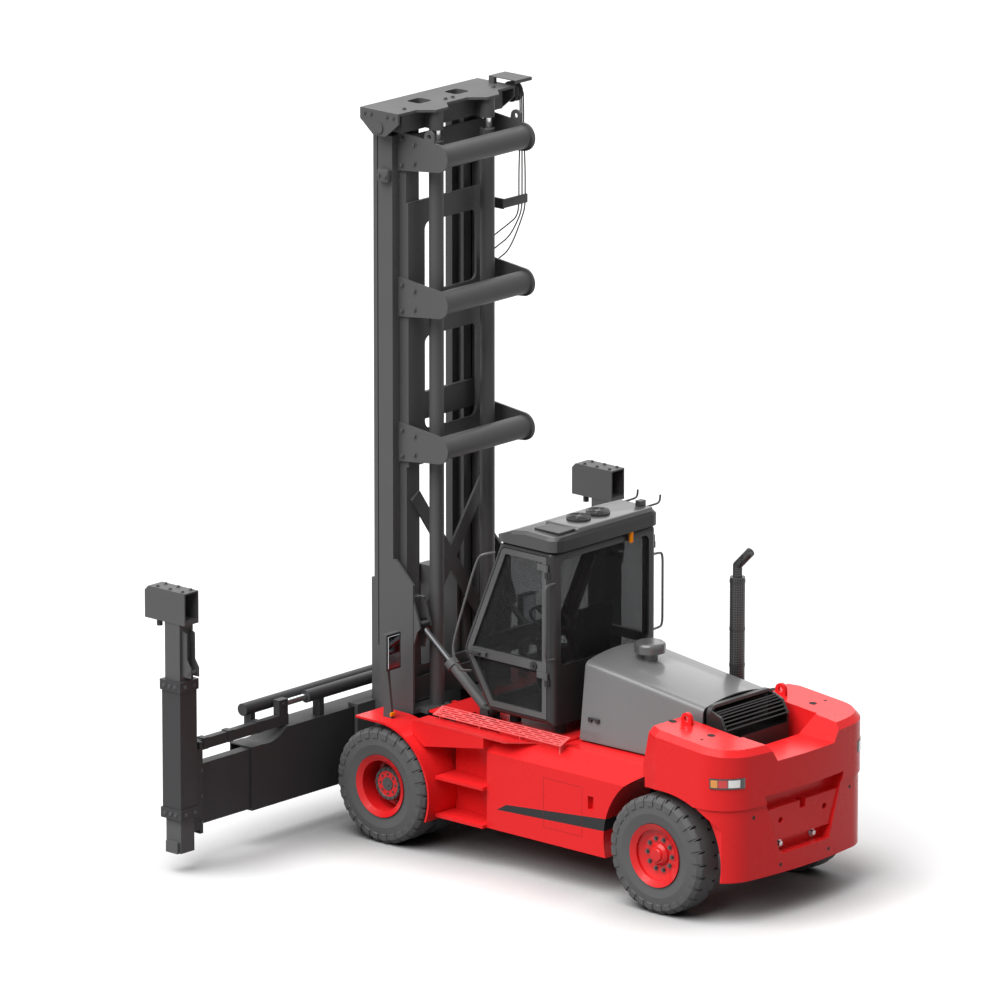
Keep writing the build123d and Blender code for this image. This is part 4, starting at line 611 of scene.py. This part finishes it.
def smooth_line(points, radius):
    """A mesh along a smooth line guided by its points: a tube, or with no radius its bare line."""
    line = bpy.data.curves.new("line", "CURVE")
    line.dimensions = "3D"
    line.bevel_depth = radius
    line.bevel_resolution = tube_resolution
    line.use_fill_caps = True
    run = line.splines.new("NURBS")
    run.points.add(len(points) - 1)
    for knot, point in zip(run.points, points):
        knot.co = (*point, 1)
    run.order_u = 3
    run.use_endpoint_u = True
    run.resolution_u = line_resolution
    guide = bpy.data.objects.new("line", line)
    bpy.context.collection.objects.link(guide)
    bpy.context.view_layer.update()
    mesh = bpy.data.meshes.new_from_object(guide.evaluated_get(bpy.context.evaluated_depsgraph_get()))
    bpy.data.objects.remove(guide)
    bpy.data.curves.remove(line)
    return mesh


def bent_tube(points, radius):
    """A bmesh of a tube along a smooth line."""
    mesh = smooth_line(points, radius)
    tube = bmesh.new()
    tube.from_mesh(mesh)
    bpy.data.meshes.remove(mesh)
    return tube


for side, sign in sides:
    for name, bends in (("front_rail", front_rail), ("rear_rail", rear_rail)):
        rail = bent_tube([from_axle(x, sign * y, z) for x, y, z in bends], rail_radius)
        piece(f"{name}_{side}", rail, cab_grey, "chassis")


# Roof unit: the cooler's low moulded housing, with a round wire guard over each of its
# two fans and brackets for working lamps at its right end.
cab_back = front_axle - 1.860
housing_low, housing_high = (cab_back - 0.02, -0.66, 3.20), (cab_back + 0.40, 0.40, 3.276)
housing_round, housing_segments = 0.022, 3
fan_x, fans_y, guard_z = cab_back + 0.200, (-0.120, 0.150), 3.307
wire_rings, wire_radius, wire_segments, wire_steps = (0.110, 0.085, 0.060, 0.035), 0.004, 8, 40
spoke_count, spoke_size = 6, (0.11, 0.008, 0.005)
fan_hub_z, fan_hub = 3.303, (0.014, 0.036, 0.028, 24)      # (depth, radius, top radius, segments)
brackets_x, bracket_radius = (-1.80, -1.52), 0.010
bracket_bends = [(0, -0.60, 3.262), (0, -0.74, 3.262), (-0.02, -0.80, 3.272), (-0.03, -0.81, 3.312),
                 (-0.03, -0.81, 3.352)]


def ring(shape, x, y, z, radius):
    """A round wire lying flat."""
    place = Matrix.Translation((x + radius, y, z)) @ Matrix.Rotation(quarter_turn, 4, "X")
    loop = bmesh.ops.create_circle(shape, segments=wire_segments, radius=wire_radius, matrix=place)
    edges = list({edge for vert in loop["verts"] for edge in vert.link_edges})
    bmesh.ops.spin(shape, geom=loop["verts"] + edges, cent=(x, y, z), axis=(0, 0, 1), angle=math.tau,
                   steps=wire_steps, use_merge=True)


housing = bmesh.new()
rounded_block(housing, housing_low, housing_high, housing_round, housing_segments)
piece("roof_housing", housing, cab_grey, "chassis")
guards = bmesh.new()
for fan_y in fans_y:
    for radius in wire_rings:
        ring(guards, fan_x, fan_y, guard_z, radius)
    for step in range(spoke_count):
        turned = Matrix.Rotation(math.tau * step / spoke_count, 4, "Z")
        spoke = Matrix.Translation((spoke_size[0] / 2, 0, 0)) @ Matrix.Diagonal((*spoke_size, 1))
        bmesh.ops.create_cube(guards, size=1,
                              matrix=Matrix.Translation((fan_x, fan_y, guard_z)) @ turned @ spoke)
    drum(guards, Matrix.Translation((fan_x, fan_y, fan_hub_z)), *fan_hub)
piece("fan_guards", guards, moulded_black, "chassis")
for number, x in enumerate(brackets_x):
    bracket = bent_tube([from_axle(x + along, y, z) for along, y, z in bracket_bends], bracket_radius)
    piece(f"lamp_bracket_{number}", bracket, moulded_black, "chassis")


# Driver's seat: two pads of woven cloth, sewn down in two channels each and stuffed
# tight, on a sheet-steel pedestal with a bracket for the backrest.
seat_cloth = coating("seat_cloth", (0.022, 0.022, 0.024), 0.9, mottle=0.2)
thread_scale, thread_wander, thread_strength, thread_depth = 320.0, 1.5, 0.4, 0.001
weave = seat_cloth.node_tree.nodes.new("ShaderNodeTexWave")
weave.inputs["Scale"].default_value = thread_scale
weave.inputs["Distortion"].default_value = thread_wander
seat_cloth.node_tree.links.new(where(seat_cloth), weave.inputs["Vector"])
relief(seat_cloth, weave.outputs["Fac"], thread_strength, thread_depth)
seat_x, seat_z, seat_half, cab_floor_z = front_axle - 1.500, 1.900, 0.245, 1.471
pad_round, pad_cuts, pad_slack, pad_fill = 0.030, 23, 0.01, 0.75
pad_pressure, swell_frames = 4.0, 20
channel_place, channel_width = 0.60, 0.045     # shares of a pad's half width
cushion_crown, back_crown, back_lean = 0.028, 0.030, math.radians(84)
steel_round = 0.015


def blown_up(pad_object, base_z, cap):
    """Swells a pad as cloth under pressure, held along its base, and returns where its points end up."""
    mesh = pad_object.data
    held = pad_object.vertex_groups.new(name="held")
    held.add([vert.index for vert in mesh.vertices if vert.co.z < base_z], 1.0, "REPLACE")
    cloth = pad_object.modifiers.new("cloth", "CLOTH")
    cloth.settings.vertex_group_mass = "held"
    cloth.settings.use_pressure = True
    cloth.settings.uniform_pressure_force = pad_pressure
    cloth.settings.effector_weights.gravity = 0.0
    for step in range(1, swell_frames + 1):
        bpy.context.scene.frame_set(step)
    swollen = pad_object.evaluated_get(bpy.context.evaluated_depsgraph_get()).data
    moves = [after.co - before.co for before, after in zip(mesh.vertices, swollen.vertices)]
    shares = [min(1, cap / max(move.length, 1e-9)) for move in moves]
    places = [vert.co + move * share for vert, move, share in zip(mesh.vertices, moves, shares)]
    pad_object.modifiers.remove(cloth)
    pad_object.vertex_groups.remove(held)
    bpy.context.scene.frame_set(1)
    return places


def pad(name, low, high, lean, crown):
    """An upholstered pad: a rounded block swollen as cloth, sewn down in two channels, leaned about Y."""
    low, high = Vector(low), Vector(high)
    middle, half = (low + high) / 2, (high - low) / 2 - Vector((pad_slack, pad_slack, 0.5 * crown))
    shape = bmesh.new()
    bmesh.ops.create_cube(shape, size=2)
    bmesh.ops.subdivide_edges(shape, edges=shape.edges[:], cuts=pad_cuts, use_grid_fill=True)
    for vert in shape.verts:
        corner = vert.co * half
        core = Vector([max(pad_round - reach, min(reach - pad_round, place))
                       for place, reach in zip(corner, half)])
        vert.co = core + (corner - core).normalized() * pad_round
    made = unfixed(name, shape, seat_cloth)
    swollen = blown_up(made, pad_round - half.z, crown)
    for vert, place in zip(made.data.vertices, swollen):
        off_channel = (abs(place.y) / half.y - channel_place) / channel_width
        sewn = math.exp(-off_channel ** 2) if place.z > 0 else 0
        vert.co = place - Vector((0, 0, 0.5 * crown * sewn))
    made.data.transform(Matrix.Translation(middle) @ Matrix.Rotation(lean, 4, "Y"))
    made.data.set_sharp_from_angle(angle=math.pi)
    soft = made.modifiers.new("soft", "SUBSURF")
    soft.levels = soft.render_levels = 1
    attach(made, "chassis")
    return made


cushion = pad("seat_cushion", (seat_x - 0.24, -seat_half, seat_z - 0.120),
              (seat_x + 0.265, seat_half, seat_z - 0.01), 0.0, cushion_crown)
pad("seat_backrest", (seat_x - 0.505, -seat_half, seat_z + 0.195),
    (seat_x + 0.090, seat_half, seat_z + 0.305), back_lean, back_crown)
pedestal = bmesh.new()
rounded_block(pedestal, (seat_x - 0.21, -0.19, cab_floor_z), (seat_x + 0.19, 0.19, seat_z - 0.100),
              steel_round)
rounded_block(pedestal, (seat_x - 0.265, -0.150, seat_z - 0.090), (seat_x - 0.180, 0.150, seat_z + 0.090),
              steel_round)
piece("seat_pedestal", pedestal, moulded_black, "chassis")
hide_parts("operator_seat")


# Mirrors: a glass in a moulded shell on each fender bracket, with an amber reflector
# at the bracket's foot.
mirror_glass = coating("mirror_glass", (0.55, 0.57, 0.60), 0.04, metallic=1.0, mottle=0.02)
mirror_y, mirror_top = 0.950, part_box("mirrors")[1][2]
shell_half, shell_tall, shell_round = 0.099, 0.354, 0.006
glass_half, glass_low, glass_high, glass_round = 0.080, 0.334, 0.020, 0.003
reflector_half, reflector_low, reflector_high, reflector_round = 0.030, 1.225, 1.262, 0.004
for side, sign in sides:
    y = sign * mirror_y
    shell = bmesh.new()
    rounded_block(shell, from_axle(-0.054, y - shell_half, mirror_top - shell_tall),
                  from_axle(-0.040, y + shell_half, mirror_top), shell_round)
    piece(f"mirror_frame_{side}", shell, moulded_black, "chassis")
    face = bmesh.new()
    rounded_block(face, from_axle(-0.058, y - glass_half, mirror_top - glass_low),
                  from_axle(-0.050, y + glass_half, mirror_top - glass_high), glass_round, 1)
    piece(f"mirror_glass_{side}", face, mirror_glass, "chassis")
    reflector = bmesh.new()
    rounded_block(reflector, from_axle(-0.046, y - reflector_half, reflector_low),
                  from_axle(-0.028, y + reflector_half, reflector_high), reflector_round)
    piece(f"reflector_{side}", reflector, amber, "chassis")


# Mast, carriage and spreader: rolled sections and plate welded up and sprayed dark
# grey, with hard chromed rods in their cylinders.
mast_grey = coating("mast_grey", (0.082, 0.082, 0.084), 0.50, specular=0.25)
finish(mast_grey, "outer_mast_frame", "cross_tubes", "lift_barrels", "inner_mast_frame", "crosshead",
       "carriage", "tilt_barrels", "mirrors", "lock_post_left", "lock_post_right")
# painted shade: the spreader's grey is darker than the mast's, standing for the shadow it lies in
shaded_beam_grey = coating("shaded_beam_grey", (0.038, 0.038, 0.040), 0.50, specular=0.25)
finish(shaded_beam_grey, "spreader_beam", "spread_barrels", "spreader_arm_left", "spreader_arm_right")
rod_chrome = coating("rod_chrome", (0.6, 0.6, 0.61), 0.12, metallic=1.0, mottle=0.02)
finish(rod_chrome, "lift_rods", "spread_rod_left", "spread_rod_right")
dark_chrome = coating("dark_chrome", (0.075, 0.075, 0.078), 0.32, metallic=1.0, mottle=0.05)
finish(dark_chrome, "tilt_rods")


# Mast fastenings: bolts through the cross tubes' side plates and the crosshead's end
# plates, and a chain anchor block bolted to each rail near its top.
tubes_z = (3.790, 5.190, 6.590)
plate_bolts = [(0.135, 0.125), (0.135, -0.125), (-0.02, 0.09), (-0.02, -0.09)]     # (x, z from the tube)
plate_y, plate_bolt = 0.612, (0.034, 0.016)                                        # (across, height)
anchor_inner, anchor_outer, anchor_low, anchor_high, anchor_round = 0.689, 0.745, 6.300, 6.420, 0.008
anchor_bolts_x, anchor_bolts_z, anchor_bolt = (0.225, 0.305), 6.36, (0.030, 0.014)
end_bolts_x, end_y, end_z, end_bolt = (0.06, 0.14, 0.34, 0.42), 0.815, 6.955, (0.026, 0.013)
top_bolts_y, top_x, top_z, top_bolt = (-0.62, -0.05, 0.05, 0.62), 0.10, 7.000, (0.030, 0.014)
mast_bolts = bmesh.new()
for tube_z in tubes_z:
    for _, sign in sides:
        for x, dz in plate_bolts:
            hex_head(mast_bolts, from_axle(x, sign * plate_y, tube_z + dz), (0, sign, 0), *plate_bolt)
for _, sign in sides:
    rounded_block(mast_bolts, from_axle(0.20, sign * anchor_inner, anchor_low),
                  from_axle(0.33, sign * anchor_outer, anchor_high), anchor_round)
    for x in anchor_bolts_x:
        hex_head(mast_bolts, from_axle(x, sign * anchor_outer, anchor_bolts_z), (0, sign, 0), *anchor_bolt)
piece("mast_bolts", mast_bolts, mast_grey, "outer_mast")
head_bolts = bmesh.new()
for _, sign in sides:
    for x in end_bolts_x:
        hex_head(head_bolts, from_axle(x, sign * end_y, end_z), (0, sign, 0), *end_bolt)
for y in top_bolts_y:
    hex_head(head_bolts, from_axle(top_x, y, top_z), (0, 0, 1), *top_bolt)
piece("head_bolts", head_bolts, mast_grey, "inner_mast")


# Hoses: three oil hoses that hang from the sheave on the crosshead, through a clamp on
# the right rail, to the pipes down the mast.
hose_rubber = coating("hose_rubber", (0.016, 0.016, 0.016), 0.55)
hose_diameter = 0.014
hose_x = -0.034
clamp_z, clamp_round = 5.90, 0.004
first_entry, entry_step = 5.60, 0.13           # where the hoses go behind the rail, one below the other
hose_lanes = [(-0.846, -0.828), (-0.870, -0.872), (-0.894, -0.916)]      # y at the sheave and at the clamp
for number, (sheave_y, clamp_y) in enumerate(hose_lanes):
    entry_z = first_entry - entry_step * number
    route = [from_axle(-0.028, sheave_y, 6.93), from_axle(hose_x, sheave_y, 6.80),
             from_axle(hose_x, sheave_y, 6.55), from_axle(hose_x, clamp_y, 6.20),
             from_axle(hose_x, clamp_y, 5.98), from_axle(hose_x, clamp_y, 5.84),
             from_axle(-0.026, clamp_y + 0.02, 5.74), from_axle(0.020, -0.76, entry_z + 0.08),
             from_axle(0.080, -0.66, entry_z), from_axle(0.120, -0.615, entry_z - 0.05)]
    line = smooth_line(route, 0)
    bpy.data.meshes.remove(line)
    tube = bent_tube(route, hose_diameter / 2)
    hose = unfixed(f"mast_hose_{number}", tube, hose_rubber)
    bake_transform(hose)
clamp = bmesh.new()
rounded_block(clamp, from_axle(-0.046, -0.940, clamp_z - 0.043), from_axle(-0.022, -0.590, clamp_z + 0.043),
              clamp_round)
rounded_block(clamp, from_axle(-0.046, -0.612, clamp_z - 0.050), from_axle(0.200, -0.592, clamp_z + 0.050),
              clamp_round)
piece("hose_clamp", clamp, mast_grey, "outer_mast")


# Spreader fastenings: bolts round each post's collars, on the end plates and on top of
# the lock heads.
collars_z, collar_bolt = (0.580, 1.820), (0.028, 0.012)                  # (across, height)
collar_side_x, collar_side_y = (0.715, 0.785, 0.855), 3.116
collar_back_x, collar_back_y = 0.654, (2.930, 3.050)
end_plate_x, end_plate_y, end_plate_z, end_plate_bolt = 0.690, 2.800, (0.45, 0.70, 0.95), (0.026, 0.012)
lock_head_x, lock_head_y, lock_head_z, lock_bolt = (0.68, 0.84, 1.00), (2.935, 3.045), 2.730, (0.028, 0.013)
for side, sign in sides:
    collar_bolts = bmesh.new()
    for z in collars_z:
        for x in collar_side_x:
            hex_head(collar_bolts, from_axle(x, sign * collar_side_y, z), (0, sign, 0), *collar_bolt)
        for y in collar_back_y:
            hex_head(collar_bolts, from_axle(collar_back_x, sign * y, z), (-1, 0, 0), *collar_bolt)
    for z in end_plate_z:
        hex_head(collar_bolts, from_axle(end_plate_x, sign * end_plate_y, z), (-1, 0, 0), *end_plate_bolt)
    piece(f"collar_bolts_{side}", collar_bolts, mast_grey, f"arm_{side}")
    head_studs = bmesh.new()
    for x in lock_head_x:
        for y in lock_head_y:
            hex_head(head_studs, from_axle(x, sign * y, lock_head_z), (0, 0, 1), *lock_bolt)
    piece(f"lock_head_bolts_{side}", head_studs, mast_grey, f"arm_{side}")


# Floor: a plain pale studio floor that runs on past the frame and keeps the shadow.
# Its colour also carries painted shade, darkened by occlusion deepest close under the
# object. It is pale where it is seen and throws little light back up.
def seen_rays(tree):
    """1 where a surface is seen straight on, mirrored or through glass, and 0 where it only gives light."""
    rays = tree.nodes.new("ShaderNodeLightPath").outputs
    mirrored = worked_out(tree, "MAXIMUM", rays["Is Camera Ray"], rays["Is Glossy Ray"])
    return worked_out(tree, "MAXIMUM", mirrored, rays["Is Transmission Ray"])


floor_half = 200
floor_unseen, floor_seen = 0.22, 0.78
painted_shade_reach, painted_shade_samples = 1.0, 8
floor_mesh = bpy.data.meshes.new("floor")
sheet = bmesh.new()
bmesh.ops.create_grid(sheet, x_segments=1, y_segments=1, size=floor_half)
sheet.to_mesh(floor_mesh)
sheet.free()
floor = bpy.data.objects.new("floor", floor_mesh)
bpy.context.collection.objects.link(floor)
floor_white = bpy.data.materials.new("floor_white")
floor_white.use_nodes = True
floor_tree = floor_white.node_tree
floor_shader = floor_tree.nodes["Principled BSDF"]
floor_tone = floor_tree.nodes.new("ShaderNodeMix")
floor_tone.data_type = "RGBA"
floor_tone.inputs["A"].default_value = (floor_unseen, floor_unseen, floor_unseen, 1)
floor_tone.inputs["B"].default_value = (floor_seen, floor_seen, floor_seen, 1)
floor_tree.links.new(seen_rays(floor_tree), floor_tone.inputs["Factor"])
# painted shade: an occlusion node darkens the floor's colour where the object shelters it
painted_contact_shade = floor_tree.nodes.new("ShaderNodeAmbientOcclusion")
painted_contact_shade.inputs["Distance"].default_value = painted_shade_reach
painted_contact_shade.samples = painted_shade_samples
floor_tree.links.new(floor_tone.outputs["Result"], painted_contact_shade.inputs["Color"])
floor_tree.links.new(painted_contact_shade.outputs["Color"], floor_shader.inputs["Base Color"])
floor_shader.inputs["Roughness"].default_value = 1.0
floor_shader.inputs["Specular IOR Level"].default_value = 0.0
floor_mesh.materials.append(floor_white)


# Studio light: a white sky, a broad soft lamp high on the left, and weak ones overhead
# and in front on the right. The sky is full white only where it is seen.
sky_light = 0.26
lamp_spread = math.radians(60)
world = bpy.data.worlds.new("studio")
bpy.context.scene.world = world
world.use_nodes = True
sky_tree = world.node_tree
sky = sky_tree.nodes["Background"]
sky.inputs["Color"].default_value = (1, 1, 1, 1)
sky_level = sky_tree.nodes.new("ShaderNodeMapRange")
sky_level.inputs["To Min"].default_value = sky_light
sky_level.inputs["To Max"].default_value = 1.0
sky_tree.links.new(seen_rays(sky_tree), sky_level.inputs["Value"])
sky_tree.links.new(sky_level.outputs["Result"], sky.inputs["Strength"])


def soft_sun(name, towards, strength):
    """A broad lamp whose light runs along towards."""
    lamp = bpy.data.lights.new(name, "SUN")
    lamp.energy = strength
    lamp.angle = lamp_spread
    lamp_object = bpy.data.objects.new(name, lamp)
    lamp_object.rotation_euler = Vector(towards).to_track_quat("-Z", "Y").to_euler()
    bpy.context.collection.objects.link(lamp_object)


soft_sun("key_left", (-0.10, -0.66, -0.95), 4.4)
soft_sun("fill_top", (0.2, 0.1, -1.0), 0.2)
soft_sun("fill_right", (-0.45, 0.6, -0.75), 0.9)


# Camera: the photograph's view from behind, on the left and a little above, through a
# very long lens.
view_azimuth, view_elevation = math.radians(222), math.radians(15)
view_target = Vector((1.07, 0.0, 3.23))
view_width = 9.39
camera_data = bpy.data.cameras.new("camera")
camera_data.lens = 400
camera_data.sensor_width = 36
camera_data.clip_end = 1000
level = math.cos(view_elevation)
back = Vector((math.sin(view_azimuth) * level, -math.cos(view_azimuth) * level, math.sin(view_elevation)))
camera = bpy.data.objects.new("camera", camera_data)
camera.location = view_target + back * (view_width * camera_data.lens / camera_data.sensor_width)
camera.rotation_euler = back.to_track_quat("Z", "Y").to_euler()
bpy.context.collection.objects.link(camera)
bpy.context.scene.camera = camera
bpy.context.scene.view_settings.view_transform = "Standard"
